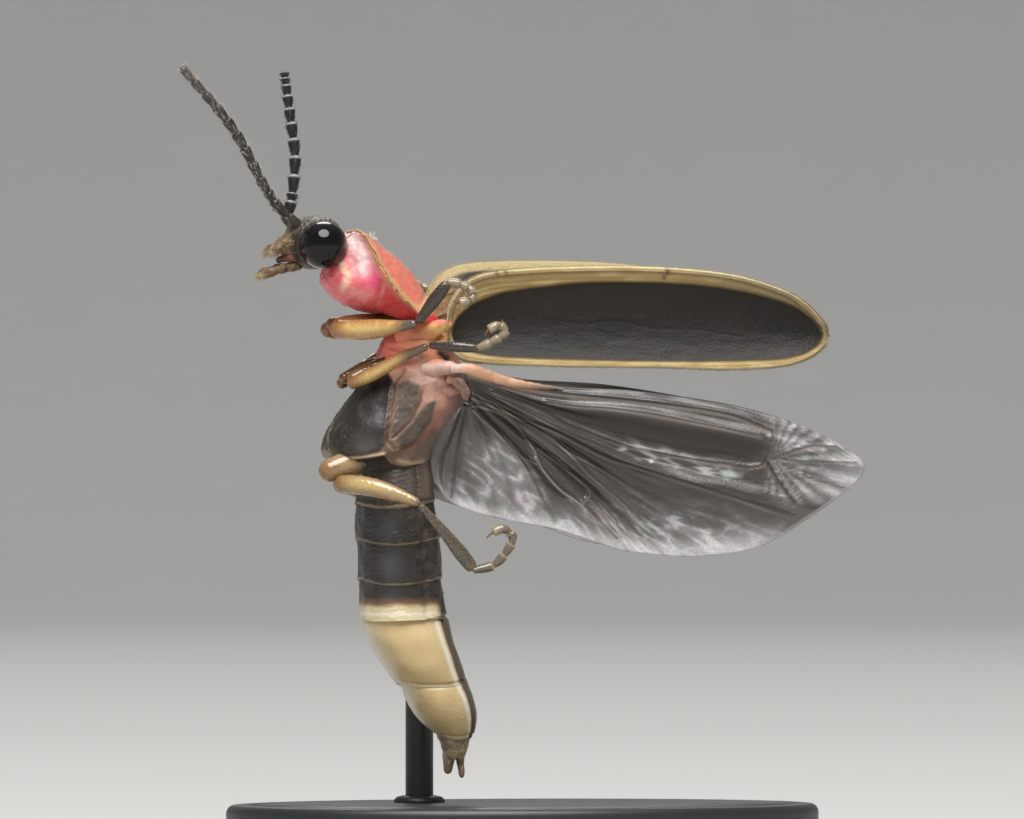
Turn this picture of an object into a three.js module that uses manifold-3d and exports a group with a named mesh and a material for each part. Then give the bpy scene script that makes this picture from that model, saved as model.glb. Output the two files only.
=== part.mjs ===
// A common eastern firefly in flight, life size, held over a small display base.
// Millimetres. Z is up and the head points to -X. The body's mid-plane is XZ and its left side faces -Y.
import * as THREE from 'three';
import { mergeVertices } from 'three/addons/utils/BufferGeometryUtils.js';
import Module from 'manifold-3d';

const wasm = await Module();
wasm.setup();

// Driving sizes
const gap = 0.25; // air between neighbouring parts
const sheet = 0.5; // thickness of wings and shell plates
const viewTurn = THREE.MathUtils.degToRad(12); // the side view below is turned this far to the belly side

const baseLength = 15;
const baseWidth = 10;
const baseHeight = 1.4;
const baseBevel = 0.25;
const rodRadius = 0.35;

const eyeRadius = 0.6;
const eyeSpread = 0.68; // from the mid-plane to the eye's middle
const eyeInnerFace = 0.56; // from the mid-plane to the flat inner face of the eye
const headHalf = 0.62;
const antennaSegments = 11;
const antennaRadius = 0.24;
const antennaTip = 0.15;

const pronotumHalf = 1.75;
const prothoraxHalf = 1.15;
const metathoraxHalf = 1.45;
const abdomenHalf = 1.22;

const elytronRootDepth = 1.45;
const elytronTipDepth = 2.75;
const elytronBow = 0.42; // depth of its hollow underside
const wingRootDepth = 1.6;
const wingTipDepth = 2.6;
const veinRise = 0.12;
const farCoverLift = 0.2; // the right wing cover is held a little higher
const farCoverTilt = 0.03; // and turned so that its tip is a little lower
const farWingLift = 0.22; // the right hind wing goes with it
const farWingTilt = 0.01;

// A place in the side view: how far right and how high it shows, and its depth past the mid-plane
function place(across, up, depth = 0) {
  const x = (across + depth * Math.sin(viewTurn)) / Math.cos(viewTurn);
  return new THREE.Vector3(x, depth, up);
}

// The same for a form that both sides share, given by its place in the mid-plane and then moved sideways
function midPlace(across, up, side) {
  const p = place(across, up);
  p.y = side;
  return p;
}

// A smooth run of places through a few given ones
function curveThrough(points) {
  return new THREE.CatmullRomCurve3(points, false, 'centripetal');
}

// A closed body from rings of equal count, with a pole at the middle of each end ring.
// Quads in the first half of the ring are split along one diagonal and in the second half along
// the other, so that the two faces of a thin sheet are split alike.
function closedRings(rings) {
  const around = rings[0].length;
  const positions = [];
  const index = [];
  for (const ring of rings) {
    for (const p of ring) positions.push(p.x, p.y, p.z);
  }
  for (let i = 0; i + 1 < rings.length; i += 1) {
    for (let k = 0; k < around; k += 1) {
      const next = (k + 1) % around;
      const a = i * around + k;
      const b = i * around + next;
      const c = a + around;
      const d = b + around;
      if (k < around / 2) index.push(a, b, d, a, d, c);
      else index.push(a, b, c, b, d, c);
    }
  }
  const ends = [rings[0], rings[rings.length - 1]];
  ends.forEach((ring, end) => {
    const middle = ring.reduce((sum, p) => sum.add(p), new THREE.Vector3()).divideScalar(around);
    const pole = positions.length / 3;
    positions.push(middle.x, middle.y, middle.z);
    const start = end === 0 ? 0 : (rings.length - 1) * around;
    for (let k = 0; k < around; k += 1) {
      const next = (k + 1) % around;
      if (end === 0) index.push(pole, start + next, start + k);
      else index.push(pole, start + k, start + next);
    }
  });
  const geometry = new THREE.BufferGeometry();
  geometry.setAttribute('position', new THREE.Float32BufferAttribute(positions, 3));
  geometry.setIndex(index);
  return facingOut(geometry);
}

// Turns every face over if the enclosed volume comes out negative
function facingOut(geometry) {
  const p = geometry.getAttribute('position');
  const index = Array.from(geometry.index.array);
  const [a, b, c] = [new THREE.Vector3(), new THREE.Vector3(), new THREE.Vector3()];
  let volume = 0;
  for (let i = 0; i < index.length; i += 3) {
    a.fromBufferAttribute(p, index[i]);
    b.fromBufferAttribute(p, index[i + 1]);
    c.fromBufferAttribute(p, index[i + 2]);
    volume += a.dot(b.cross(c));
  }
  if (volume < 0) {
    for (let i = 0; i < index.length; i += 3) {
      [index[i + 1], index[i + 2]] = [index[i + 2], index[i + 1]];
    }
    geometry.setIndex(index);
  }
  return geometry;
}

// A body form from stations {belly, back, half}: side-view places of its belly and back lines and its half
// width. Each ring is a superellipse across the line from belly to back.
function bodyForm(stations, rows, around, power = 2.2) {
  const belly = curveThrough(stations.map((s) => place(...s.belly)));
  const back = curveThrough(stations.map((s) => place(...s.back)));
  const half = curveThrough(stations.map((s, i) => new THREE.Vector3(i, s.half, 0)));
  const rings = [];
  for (let i = 0; i <= rows; i += 1) {
    const t = i / rows;
    const low = belly.getPoint(t);
    const high = back.getPoint(t);
    rings.push(bodyRing(low, high, half.getPoint(t).y, around, power));
  }
  return closedRings(rings);
}

function bodyRing(low, high, half, around, power) {
  const middle = low.clone().add(high).multiplyScalar(0.5);
  const reach = high.clone().sub(low).multiplyScalar(0.5);
  const ring = [];
  for (let k = 0; k < around; k += 1) {
    const angle = (k / around) * Math.PI * 2;
    const c = Math.cos(angle);
    const s = Math.sin(angle);
    const along = Math.sign(c) * Math.abs(c) ** (2 / power);
    const across = Math.sign(s) * Math.abs(s) ** (2 / power);
    const p = middle.clone().addScaledVector(reach, along);
    p.y += half * across;
    ring.push(p);
  }
  return ring;
}

// A limb: rings of the given radii set square to a path. flat squeezes it across the path in the depth.
function limb(points, radii, { rows = 8, sides = 8, flat = 1 } = {}) {
  const path = curveThrough(points);
  const sizes = curveThrough(radii.map((r, i) => new THREE.Vector3(i, r, 0)));
  const rings = [];
  for (let i = 0; i <= rows; i += 1) {
    const t = i / rows;
    rings.push(limbRing(path.getPoint(t), path.getTangent(t), sizes.getPoint(t).y, sides, flat));
  }
  return closedRings(rings);
}

function limbRing(centre, tangent, radius, sides, flat) {
  const up = new THREE.Vector3(0, 1, 0).cross(tangent).normalize();
  const side = tangent.clone().cross(up).normalize();
  const ring = [];
  for (let k = 0; k < sides; k += 1) {
    const angle = ((k + 0.5) / sides) * Math.PI * 2;
    const p = centre.clone();
    p.addScaledVector(up, radius * Math.cos(angle));
    p.addScaledVector(side, radius * flat * Math.sin(angle));
    ring.push(p);
  }
  return ring;
}

function ball(centre, radius, around = 16, squash = [1, 1, 1]) {
  const geometry = new THREE.SphereGeometry(radius, around, Math.round(around * 0.7));
  geometry.rotateX(Math.PI / 2);
  geometry.scale(...squash);
  geometry.translate(centre.x, centre.y, centre.z);
  return geometry;
}

function block(low, high) {
  const size = high.clone().sub(low);
  const geometry = new THREE.BoxGeometry(size.x, size.y, size.z);
  const middle = low.clone().add(high).multiplyScalar(0.5);
  geometry.translate(middle.x, middle.y, middle.z);
  return geometry;
}

// Joining and cutting
function toSolid(geometry) {
  const bare = geometry.clone();
  bare.deleteAttribute('normal');
  bare.deleteAttribute('uv');
  const merged = facingOut(mergeVertices(bare, 1e-4));
  return new wasm.Manifold(new wasm.Mesh({
    numProp: 3,
    vertProperties: new Float32Array(merged.getAttribute('position').array),
    triVerts: new Uint32Array(merged.index.array),
  }));
}

// Only the largest closed surface is kept, so that no sealed hollow or loose scrap stays
function toGeometry(solid) {
  const pieces = solid.decompose();
  pieces.sort((a, b) => b.volume() - a.volume());
  const mesh = pieces[0].getMesh();
  const geometry = new THREE.BufferGeometry();
  geometry.setAttribute('position', new THREE.Float32BufferAttribute(mesh.vertProperties, 3));
  geometry.setIndex(Array.from(mesh.triVerts));
  return geometry;
}

function fuse(...geometries) {
  return toGeometry(geometries.map(toSolid).reduce((whole, piece) => whole.add(piece)));
}

function cutAway(geometry, ...tools) {
  return toGeometry(tools.map(toSolid).reduce((whole, tool) => whole.subtract(tool), toSolid(geometry)));
}

// Each mesh's geometry is kept about its own root, where the mesh is then placed
function addPart(parent, name, geometry, material, root = new THREE.Vector3()) {
  geometry.translate(-root.x, -root.y, -root.z);
  geometry.computeVertexNormals();
  const mesh = new THREE.Mesh(geometry, material);
  mesh.name = name;
  mesh.position.copy(root).sub(parent.position);
  parent.add(mesh);
}

function finish(color, roughness, metalness = 0) {
  return new THREE.MeshStandardMaterial({ color, roughness, metalness });
}

const finishes = {
  skull: finish(0x3a332c, 0.6),
  eye: finish(0x0a0908, 0.08),
  antenna: finish(0x35302b, 0.8),
  shield: finish(0xd98a4a, 0.5),
  rosy: finish(0xe2607a, 0.4),
  orange: finish(0xc9703c, 0.45),
  darkPlate: finish(0x2a211a, 0.5),
  golden: finish(0xb98a3c, 0.35),
  darkLeg: finish(0x33261c, 0.5),
  lantern: finish(0xd8c58c, 0.45),
  elytron: finish(0x4a3d2b, 0.5),
  membrane: finish(0x5a5048, 0.3),
  stand: finish(0x1c1c1e, 0.35),
};

const sides = [
  { name: 'left', sign: -1 },
  { name: 'right', sign: 1 },
];

// Head: skull with feeler sockets, jaws and palps, hollowed on each side for the eye
function eyeMiddle(sign) {
  return midPlace(-5.1, 15.35, sign * eyeSpread);
}

function eyeForm(sign) {
  const whole = ball(eyeMiddle(sign), eyeRadius, 20);
  const reach = 2;
  const inner = new THREE.Vector3(-20, sign > 0 ? -reach : -eyeInnerFace, 0);
  const outer = new THREE.Vector3(20, sign > 0 ? eyeInnerFace : reach, 20);
  return cutAway(whole, block(inner, outer));
}

function eyeRoom(sign) {
  const core = eyeInnerFace - gap;
  const whole = ball(eyeMiddle(sign), eyeRadius + gap * 0.8, 14);
  return cutAway(whole, block(new THREE.Vector3(-20, -core, 0), new THREE.Vector3(20, core, 20)));
}

function headForm() {
  const skull = bodyForm([
    { belly: [-4.5, 14.95], back: [-4.46, 15.4], half: 0.25 },
    { belly: [-4.85, 14.72], back: [-4.72, 15.95], half: headHalf },
    { belly: [-5.3, 14.7], back: [-5.2, 16.1], half: headHalf },
    { belly: [-5.7, 14.78], back: [-5.62, 16.02], half: headHalf * 0.95 },
    { belly: [-5.9, 15.0], back: [-5.86, 15.7], half: 0.4 },
  ], 8, 16, 2.4);
  const hollowed = cutAway(skull, eyeRoom(-1), eyeRoom(1));
  const extras = [];
  for (const { sign } of sides) {
    extras.push(ball(midPlace(-5.72, 15.88, sign * 0.4), 0.26, 8));
    extras.push(limb([
      midPlace(-5.6, 15.0, sign * 0.2),
      midPlace(-5.98, 14.98, sign * 0.26),
      midPlace(-6.12, 14.92, sign * 0.06),
    ], [0.2, 0.16, 0.07], { rows: 4, sides: 6 }));
    extras.push(limb([
      midPlace(-5.65, 15.3, sign * 0.28),
      midPlace(-6.0, 15.32, sign * 0.46),
      midPlace(-6.22, 15.22, sign * 0.5),
      midPlace(-6.42, 15.1, sign * 0.48),
    ], [0.16, 0.15, 0.2, 0.08], { rows: 5, sides: 6 }));
    extras.push(limb([
      midPlace(-5.6, 14.85, sign * 0.16),
      midPlace(-6.0, 14.72, sign * 0.24),
      midPlace(-6.35, 14.64, sign * 0.3),
      midPlace(-6.62, 14.55, sign * 0.3),
    ], [0.16, 0.13, 0.17, 0.08], { rows: 5, sides: 6 }));
  }
  return fuse(hollowed, ...extras);
}

// Feelers: eleven segments, each widest near its far end
function antennaForm(points) {
  const path = curveThrough(points);
  const rings = [];
  for (let i = 0; i < antennaSegments; i += 1) {
    const start = i / antennaSegments;
    const end = (i + 0.88) / antennaSegments;
    const size = THREE.MathUtils.lerp(antennaRadius, antennaTip, i / (antennaSegments - 1));
    rings.push(limbRing(path.getPointAt(start), path.getTangentAt(start), size * 0.82, 7, 1));
    rings.push(limbRing(path.getPointAt(end), path.getTangentAt(end), size * 1.05, 7, 1));
  }
  rings.push(limbRing(path.getPointAt(1), path.getTangentAt(1), antennaTip * 0.4, 7, 1));
  return closedRings(rings);
}

const antennaPaths = {
  left: [[-6.0, 16.18, -0.44], [-6.5, 16.93, -0.75], [-7.25, 18.3, -1.0], [-8.5, 19.8, -1.3]],
  right: [[-5.92, 16.2, 0.44], [-5.75, 17.0, 0.6], [-5.7, 17.7, 0.8], [-5.85, 18.8, 1.1],
    [-5.97, 19.77, 1.3]],
};

// Shield over the prothorax: a domed plate that droops from its crest to both side margins
const crestLine = [[-4.2, 15.74], [-3.95, 15.66], [-3.6, 15.38], [-3.2, 15.02], [-2.8, 14.6], [-2.42, 14.0]];
const marginLine = [
  [-4.15, 15.7, -0.5],
  [-4.0, 15.62, -1.1],
  [-3.76, 15.3, -1.45],
  [-3.5, 14.78, -1.66],
  [-3.12, 14.2, -pronotumHalf],
  [-2.56, 13.62, -pronotumHalf],
];

function pronotumForm() {
  const crest = curveThrough(crestLine.map((p) => place(...p)));
  const margin = curveThrough(marginLine.map((p) => place(...p)));
  const upward = new THREE.Vector3(0.72, 0, 0.69);
  const rows = 12;
  const columns = 14;
  const rings = [];
  for (let i = 0; i <= rows; i += 1) {
    const t = i / rows;
    const middle = crest.getPoint(t);
    const edge = margin.getPoint(t);
    const top = [];
    const under = [];
    for (let k = 0; k <= columns; k += 1) {
      const s = (k / columns) * 2 - 1;
      const droop = Math.abs(s) ** 2.4;
      const p = new THREE.Vector3(
        THREE.MathUtils.lerp(middle.x, edge.x, droop),
        Math.abs(edge.y) * s,
        THREE.MathUtils.lerp(middle.z, edge.z, droop),
      );
      top.push(p);
      under.unshift(p.clone().addScaledVector(upward, -sheet * (0.55 + 0.35 * t)));
    }
    rings.push([...top, ...under]);
  }
  return closedRings(rings);
}

// Prothorax: the pink body under the shield, hollowed in front for the eyes and the neck
function prothoraxForm() {
  const body = bodyForm([
    { belly: [-4.98, 14.75], back: [-4.35, 15.4], half: 0.75 },
    { belly: [-4.96, 14.4], back: [-4.05, 15.05], half: 1.0 },
    { belly: [-4.62, 14.1], back: [-3.75, 14.72], half: prothoraxHalf },
    { belly: [-4.15, 13.98], back: [-3.42, 14.42], half: prothoraxHalf },
    { belly: [-3.45, 13.92], back: [-3.02, 13.98], half: 0.8 },
  ], 10, 20, 2.3);
  const headRoom = ball(place(-5.05, 15.25), 0.86, 14, [1, 0.9, 1]);
  const eyeRooms = sides.map(({ sign }) => ball(eyeMiddle(sign), eyeRadius + gap, 14));
  return cutAway(body, headRoom, ...eyeRooms);
}

// Mesothorax: a narrow waist between the fore legs, widening to the shoulders that carry the wing covers
function mesothoraxForm() {
  const body = bodyForm([
    { belly: [-2.75, 13.6], back: [-2.3, 13.66], half: 0.45 },
    { belly: [-2.9, 13.25], back: [-2.15, 13.5], half: 0.55 },
    { belly: [-3.35, 13.0], back: [-1.95, 13.2], half: 0.85 },
    { belly: [-3.3, 12.78], back: [-1.8, 12.9], half: 1.0 },
  ], 8, 18, 2.2);
  const shoulders = sides.map(({ sign }) => ball(midPlace(-2.4, 13.2, sign * 0.85), 0.36, 10));
  return fuse(body, ...shoulders);
}

// Metathorax: the deep chest over the hind legs, with a root on each side for the hind wing
function metathoraxForm() {
  const body = bodyForm([
    { belly: [-3.95, 11.5], back: [-1.62, 12.52], half: 1.0 },
    { belly: [-4.3, 11.2], back: [-1.5, 12.1], half: 1.3 },
    { belly: [-4.75, 10.75], back: [-1.55, 11.45], half: metathoraxHalf },
    { belly: [-4.9, 10.3], back: [-1.9, 10.8], half: metathoraxHalf },
    { belly: [-4.75, 10.0], back: [-2.25, 10.1], half: 1.3 },
  ], 8, 20, 2.3);
  const roots = sides.map(({ sign }) => ball(midPlace(-2.25, 11.9, sign * 1.0), 0.4, 10));
  return fuse(body, ...roots);
}

// Abdomen: dark rings whose hind edges stand a little proud of the next ring
const abdomenLines = {
  belly: [[-3.5, 9.72], [-4.12, 8.85], [-4.1, 7.97], [-4.05, 6.97], [-4.02, 6.2]],
  back: [[-2.4, 9.8], [-2.33, 8.95], [-2.17, 7.97], [-2.1, 6.97], [-2.02, 6.3]],
};
const abdomenHalves = [0.85, 1.12, abdomenHalf, abdomenHalf, 1.18];
const ringCount = 4;

function ringedForm(lines, halves, count, around) {
  const belly = curveThrough(lines.belly.map((p) => place(...p)));
  const back = curveThrough(lines.back.map((p) => place(...p)));
  const half = curveThrough(halves.map((h, i) => new THREE.Vector3(i, h, 0)));
  const steps = [[0, 0.965], [0.3, 1], [0.97, 1.035]]; // share of the ring's length, and its size there
  const rings = [];
  for (let i = 0; i < count; i += 1) {
    for (const [within, size] of steps) {
      const t = (i + within) / count;
      const low = belly.getPoint(t);
      const high = back.getPoint(t);
      const middle = low.clone().add(high).multiplyScalar(0.5);
      low.sub(middle).multiplyScalar(size).add(middle);
      high.sub(middle).multiplyScalar(size).add(middle);
      rings.push(bodyRing(low, high, half.getPoint(t).y * size, around, 2.4));
    }
  }
  return closedRings(rings);
}

function lanternOneForm() {
  return bodyForm([
    { belly: [-3.9, 5.96], back: [-1.98, 6.04], half: 1.1 },
    { belly: [-3.8, 5.6], back: [-1.85, 5.55], half: 1.16 },
    { belly: [-3.52, 4.95], back: [-1.68, 5.0], half: 1.12 },
    { belly: [-3.2, 4.5], back: [-1.55, 4.66], half: 1.0 },
  ], 8, 20, 2.5);
}

function lanternTwoForm() {
  return bodyForm([
    { belly: [-3.0, 4.22], back: [-1.5, 4.42], half: 0.95 },
    { belly: [-2.8, 3.85], back: [-1.3, 4.05], half: 0.92 },
    { belly: [-2.5, 3.45], back: [-1.22, 3.65], half: 0.78 },
    { belly: [-2.15, 3.2], back: [-1.3, 3.28], half: 0.55 },
  ], 8, 18, 2.4);
}

// Tail piece: a small plate that ends in two prongs
function tailForm() {
  const plate = bodyForm([
    { belly: [-2.1, 2.97], back: [-1.38, 3.02], half: 0.42 },
    { belly: [-1.98, 2.75], back: [-1.42, 2.78], half: 0.36 },
    { belly: [-1.9, 2.55], back: [-1.5, 2.6], half: 0.25 },
  ], 4, 12, 2.2);
  const prongs = [
    { path: [[-1.86, 2.7], [-1.88, 2.45], [-1.9, 2.25]], radii: [0.2, 0.14, 0.07] },
    { path: [[-1.6, 2.75], [-1.56, 2.4], [-1.53, 2.1]], radii: [0.22, 0.15, 0.06] },
  ].map(({ path, radii }) => limb(path.map((p) => place(...p)), radii, { rows: 4, sides: 6 }));
  return fuse(plate, ...prongs);
}

// Wing covers: long shells, hollow towards the outside, with a thicker rim and three faint ribs
const coverTop = [[-1.88, 13.3], [-1.72, 14.05], [-1.1, 14.6], [0.4, 14.78], [2.9, 14.83], [5.2, 14.62],
  [6.6, 14.2], [7.35, 13.62], [7.62, 13.12]];
const coverLow = [[-1.88, 13.3], [-1.72, 12.6], [-1.1, 12.42], [0.4, 12.34], [2.9, 12.3], [5.2, 12.24],
  [6.6, 12.34], [7.35, 12.66], [7.62, 13.12]];
const coverRibs = [0.27, 0.5, 0.74];
const coverRibRise = 0.05;
const coverRoot = [-1.9, 13.3, -1.3];
const coverEndCut = 0.03; // share of the outline left off at the root and the tip
const fullHeight = 2; // where the cover is this high its hollow has its full depth
const wingSpan = 10;

function depthAt(across, root, tip) {
  return THREE.MathUtils.lerp(root, tip, (across + 2) / wingSpan);
}

function elytronForm(sign) {
  const top = curveThrough(coverTop.map((p) => new THREE.Vector3(...p, 0)));
  const low = curveThrough(coverLow.map((p) => new THREE.Vector3(...p, 0)));
  const rows = 16;
  const columns = 12;
  const rings = [];
  for (let i = 0; i <= rows; i += 1) {
    const t = THREE.MathUtils.lerp(coverEndCut, 1 - coverEndCut, i / rows);
    const high = top.getPoint(t);
    const deep = low.getPoint(t);
    const narrowing = Math.min(1, (high.y - deep.y) / fullHeight);
    const outside = [];
    const inside = [];
    for (let k = 0; k <= columns; k += 1) {
      const s = k / columns;
      const across = THREE.MathUtils.lerp(high.x, deep.x, s);
      const up = THREE.MathUtils.lerp(high.y, deep.y, s);
      const bow = elytronBow * narrowing * (1 - (2 * s - 1) ** 2);
      const rib = coverRibs.some((r) => Math.abs(s - r) < 0.5 / columns) ? coverRibRise : 0;
      const middle = place(across, up, -depthAt(across, elytronRootDepth, elytronTipDepth));
      const y = middle.y + bow;
      outside.push(new THREE.Vector3(middle.x, y - sheet / 2, up));
      inside.unshift(new THREE.Vector3(middle.x, y + sheet / 2 + rib, up));
    }
    rings.push([...outside, ...inside]);
  }
  const root = limb([
    place(-1.4, 13.3, -1.42),
    place(-1.75, 13.28, -1.36),
    place(-1.95, 13.26, -1.3),
  ], [0.3, 0.28, 0.24], { rows: 3, sides: 8 });
  const cover = mirrored(fuse(closedRings(rings), root), sign);
  return sign > 0 ? heldHigher(cover, coverRoot, farCoverTilt, farCoverLift) : cover;
}

// The right side's cover and hind wing: turned about their root and lifted
function heldHigher(geometry, root, tilt, lift) {
  const turnPoint = sidePlace(root, 1);
  geometry.translate(-turnPoint.x, -turnPoint.y, -turnPoint.z);
  geometry.rotateY(tilt);
  geometry.translate(turnPoint.x, turnPoint.y, turnPoint.z + lift);
  return geometry;
}

// The left side is the one drawn, and the right is its mirror image
function mirrored(geometry, sign) {
  if (sign > 0) {
    geometry.scale(1, -1, 1);
    return facingOut(geometry);
  }
  return geometry;
}

// A root drawn for the left side, moved to the side that is made
function sidePlace(point, sign) {
  const p = place(...point);
  p.y *= -sign;
  return p;
}

// Hind wings: rays from the hinge to the margin, from the leading edge round to the lobe beside the body.
// Each ray between the first and the last is a vein, a ridge raised on both faces of the membrane.
const wingRays = [
  [[-1.48, 12.3], [0.57, 11.86], [2.92, 11.72], [5.5, 11.32], [7.33, 10.7], [8.43, 10.05]],
  [[-1.42, 12.14], [0.57, 11.5], [2.92, 11.22], [5.92, 10.62], [8.5, 9.75]],
  [[-1.38, 12.0], [0.5, 11.22], [2.92, 10.32], [5.6, 9.82], [8.2, 9.35]],
  [[-1.34, 11.88], [0.92, 10.72], [2.92, 9.82], [5.0, 9.22], [7.1, 8.54]],
  [[-1.31, 11.78], [0.57, 10.68], [1.98, 9.8], [2.92, 9.22], [5.85, 7.83]],
  [[-1.3, 11.7], [0.4, 10.6], [1.67, 9.6], [2.92, 8.6], [4.3, 7.6]],
  [[-1.29, 11.62], [0.25, 10.4], [1.1, 9.72], [1.67, 9.2], [3.17, 7.67]],
  [[-1.29, 11.54], [0.1, 10.2], [0.92, 9.3], [1.5, 8.8], [2.3, 7.8]],
  [[-1.3, 11.46], [-0.2, 10.15], [0.3, 9.4], [0.85, 8.28]],
  [[-1.34, 11.4], [-0.95, 10.2], [-0.75, 9.4], [-0.6, 8.55]],
  [[-1.44, 11.34], [-1.62, 10.2], [-1.75, 9.5], [-1.72, 8.93]],
  [[-1.62, 11.28], [-2.12, 10.55], [-2.3, 9.97], [-2.2, 9.45]],
];
const wingHinge = [-1.5, 12.0, -wingRootDepth];
const veinFoot = 0.26; // share of the way to the next vein where a ridge meets the membrane

function hindwingForm(sign) {
  const rays = wingRays.map((ray) => curveThrough(ray.map((p) => new THREE.Vector3(...p, 0))));
  const columns = [];
  rays.forEach((ray, i) => {
    const edge = i === 0 || i === rays.length - 1;
    columns.push({ from: ray, to: ray, share: 0, rise: edge ? veinRise / 2 : veinRise });
    if (i + 1 < rays.length) {
      columns.push({ from: ray, to: rays[i + 1], share: veinFoot, rise: 0 });
      columns.push({ from: ray, to: rays[i + 1], share: 1 - veinFoot, rise: 0 });
    }
  });
  const rows = 11;
  const rings = [];
  for (let i = 0; i <= rows; i += 1) {
    const r = i / rows;
    const near = [];
    const far = [];
    for (const { from, to, share, rise } of columns) {
      const p = from.getPointAt(r).lerp(to.getPointAt(r), share);
      const middle = place(p.x, p.y, -depthAt(p.x, wingRootDepth, wingTipDepth));
      const half = (sheet / 2) * (1 - 0.25 * r) + rise * (1 - 0.5 * r);
      near.push(new THREE.Vector3(middle.x, middle.y - half, p.y));
      far.unshift(new THREE.Vector3(middle.x, middle.y + half, p.y));
    }
    rings.push([...near, ...far]);
  }
  const wing = mirrored(closedRings(rings), sign);
  return sign > 0 ? heldHigher(wing, wingHinge, farWingTilt, farWingLift) : wing;
}

// Legs: upper is hip and thigh, folded back on each other, and lower is shin and foot
const legs = {
  fore: {
    hip: [[-3.3, 13.52, -0.5], [-4.1, 13.5, -0.5], [-4.78, 13.42, -0.52]],
    hipRadii: [0.22, 0.26, 0.18],
    thigh: [[-4.82, 13.36, -0.6], [-4.2, 13.3, -1.0], [-3.3, 13.32, -1.65], [-2.62, 13.38, -2.15]],
    thighRadii: [0.14, 0.26, 0.27, 0.17],
    shin: [[-2.44, 13.64, -2.28], [-2.1, 14.08, -2.34], [-1.86, 14.42, -2.38]],
    shinRadii: [0.13, 0.2, 0.16],
    foot: [[-1.9, 14.4, -2.38], [-1.5, 14.34, -2.4], [-1.22, 14.2, -2.42], [-1.3, 13.98, -2.42],
      [-1.52, 13.93, -2.4]],
  },
  middle: {
    hip: [[-3.15, 12.34, -0.5], [-3.85, 12.22, -0.5], [-4.48, 11.96, -0.52]],
    hipRadii: [0.2, 0.23, 0.16],
    thigh: [[-4.48, 11.86, -0.62], [-3.9, 12.13, -1.1], [-3.0, 12.55, -1.65], [-2.35, 12.82, -1.95]],
    thighRadii: [0.13, 0.24, 0.24, 0.16],
    shin: [[-2.08, 12.84, -2.16], [-1.6, 12.79, -2.4], [-1.14, 12.76, -2.55]],
    shinRadii: [0.13, 0.19, 0.15],
    foot: [[-1.16, 12.78, -2.55], [-0.84, 12.92, -2.58], [-0.5, 13.22, -2.58], [-0.66, 13.38, -2.56],
      [-0.88, 13.2, -2.55]],
  },
  hind: {
    hip: [[-3.85, 9.62, -0.62], [-4.35, 9.56, -0.75], [-4.85, 9.45, -0.85]],
    hipRadii: [0.18, 0.23, 0.17],
    thigh: [[-4.78, 9.4, -0.95], [-4.0, 9.3, -1.5], [-3.2, 9.14, -1.85], [-2.62, 9.0, -2.05]],
    thighRadii: [0.14, 0.25, 0.26, 0.17],
    shin: [[-2.42, 8.74, -2.14], [-1.8, 8.0, -2.2], [-1.2, 7.24, -2.25]],
    shinRadii: [0.13, 0.19, 0.24],
    foot: [[-1.2, 7.26, -2.25], [-0.66, 7.36, -2.25], [-0.24, 7.78, -2.25], [-0.22, 8.1, -2.24],
      [-0.5, 8.3, -2.22], [-0.78, 8.2, -2.2]],
  },
};

// The right hind leg is folded closer and hangs down beside the abdomen, so it has its own places
legs.hindRight = {
  ...legs.hind,
  hip: [[-3.95, 9.62, 0.62], [-4.35, 9.56, 0.75], [-4.7, 9.47, 0.85]],
  thigh: [[-4.66, 9.4, 0.95], [-4.3, 9.3, 1.5], [-3.85, 9.14, 1.85], [-3.5, 9.0, 2.05]],
  shin: [[-3.42, 8.75, 2.14], [-3.22, 7.85, 2.2], [-3.0, 6.95, 2.25]],
  foot: [[-2.98, 6.92, 2.25], [-2.7, 6.78, 2.25], [-2.42, 7.0, 2.25], [-2.36, 7.35, 2.24],
    [-2.5, 7.56, 2.22], [-2.72, 7.45, 2.2]],
};
const footRadii = [0.17, 0.14];
const footTip = 0.06;
const footJoints = 5;
const jointSteps = [[0, 0.75], [0.8, 1.05]]; // share of the joint's length, and its size there

function upperLegForm(leg, sign) {
  const hip = limb(leg.hip.map((p) => place(...p)), leg.hipRadii, { rows: 6, sides: 8 });
  const thigh = limb(leg.thigh.map((p) => place(...p)), leg.thighRadii, { rows: 9, sides: 8 });
  const joint = ball(place(...leg.thigh[0]), 0.2, 6);
  return mirrored(fuse(hip, joint, thigh), sign);
}

function lowerLegForm(leg, sign) {
  const shin = limb(leg.shin.map((p) => place(...p)), leg.shinRadii, { rows: 6, sides: 8 });
  const path = curveThrough(leg.foot.map((p) => place(...p)));
  const rings = [];
  for (let i = 0; i < footJoints; i += 1) {
    for (const [within, size] of jointSteps) {
      const t = (i + within) / footJoints;
      const radius = THREE.MathUtils.lerp(footRadii[0], footRadii[1], t) * size;
      rings.push(limbRing(path.getPointAt(t), path.getTangentAt(t), radius, 7, 1));
    }
  }
  rings.push(limbRing(path.getPointAt(1), path.getTangentAt(1), footTip, 7, 1));
  return mirrored(fuse(shin, closedRings(rings)), sign);
}

// Display base: an oval plate with bevelled edges, and a rod with a short arm up to the side of the lantern
function baseForm() {
  const half = baseLength / 2;
  const profile = [
    [0, 0],
    [half - baseBevel, 0],
    [half, baseBevel],
    [half, baseHeight - baseBevel],
    [half - baseBevel, baseHeight],
    [0, baseHeight],
  ].map(([x, y]) => new THREE.Vector2(x, y));
  const plate = new THREE.LatheGeometry(profile, 40);
  plate.rotateX(Math.PI / 2);
  plate.scale(1, baseWidth / baseLength, 1);
  return toGeometry(toSolid(plate));
}

const armUp = 5.35;
const rodAcross = -2.6;
const rodDepth = 1.95;
const lanternFlank = 1.16;

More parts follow.
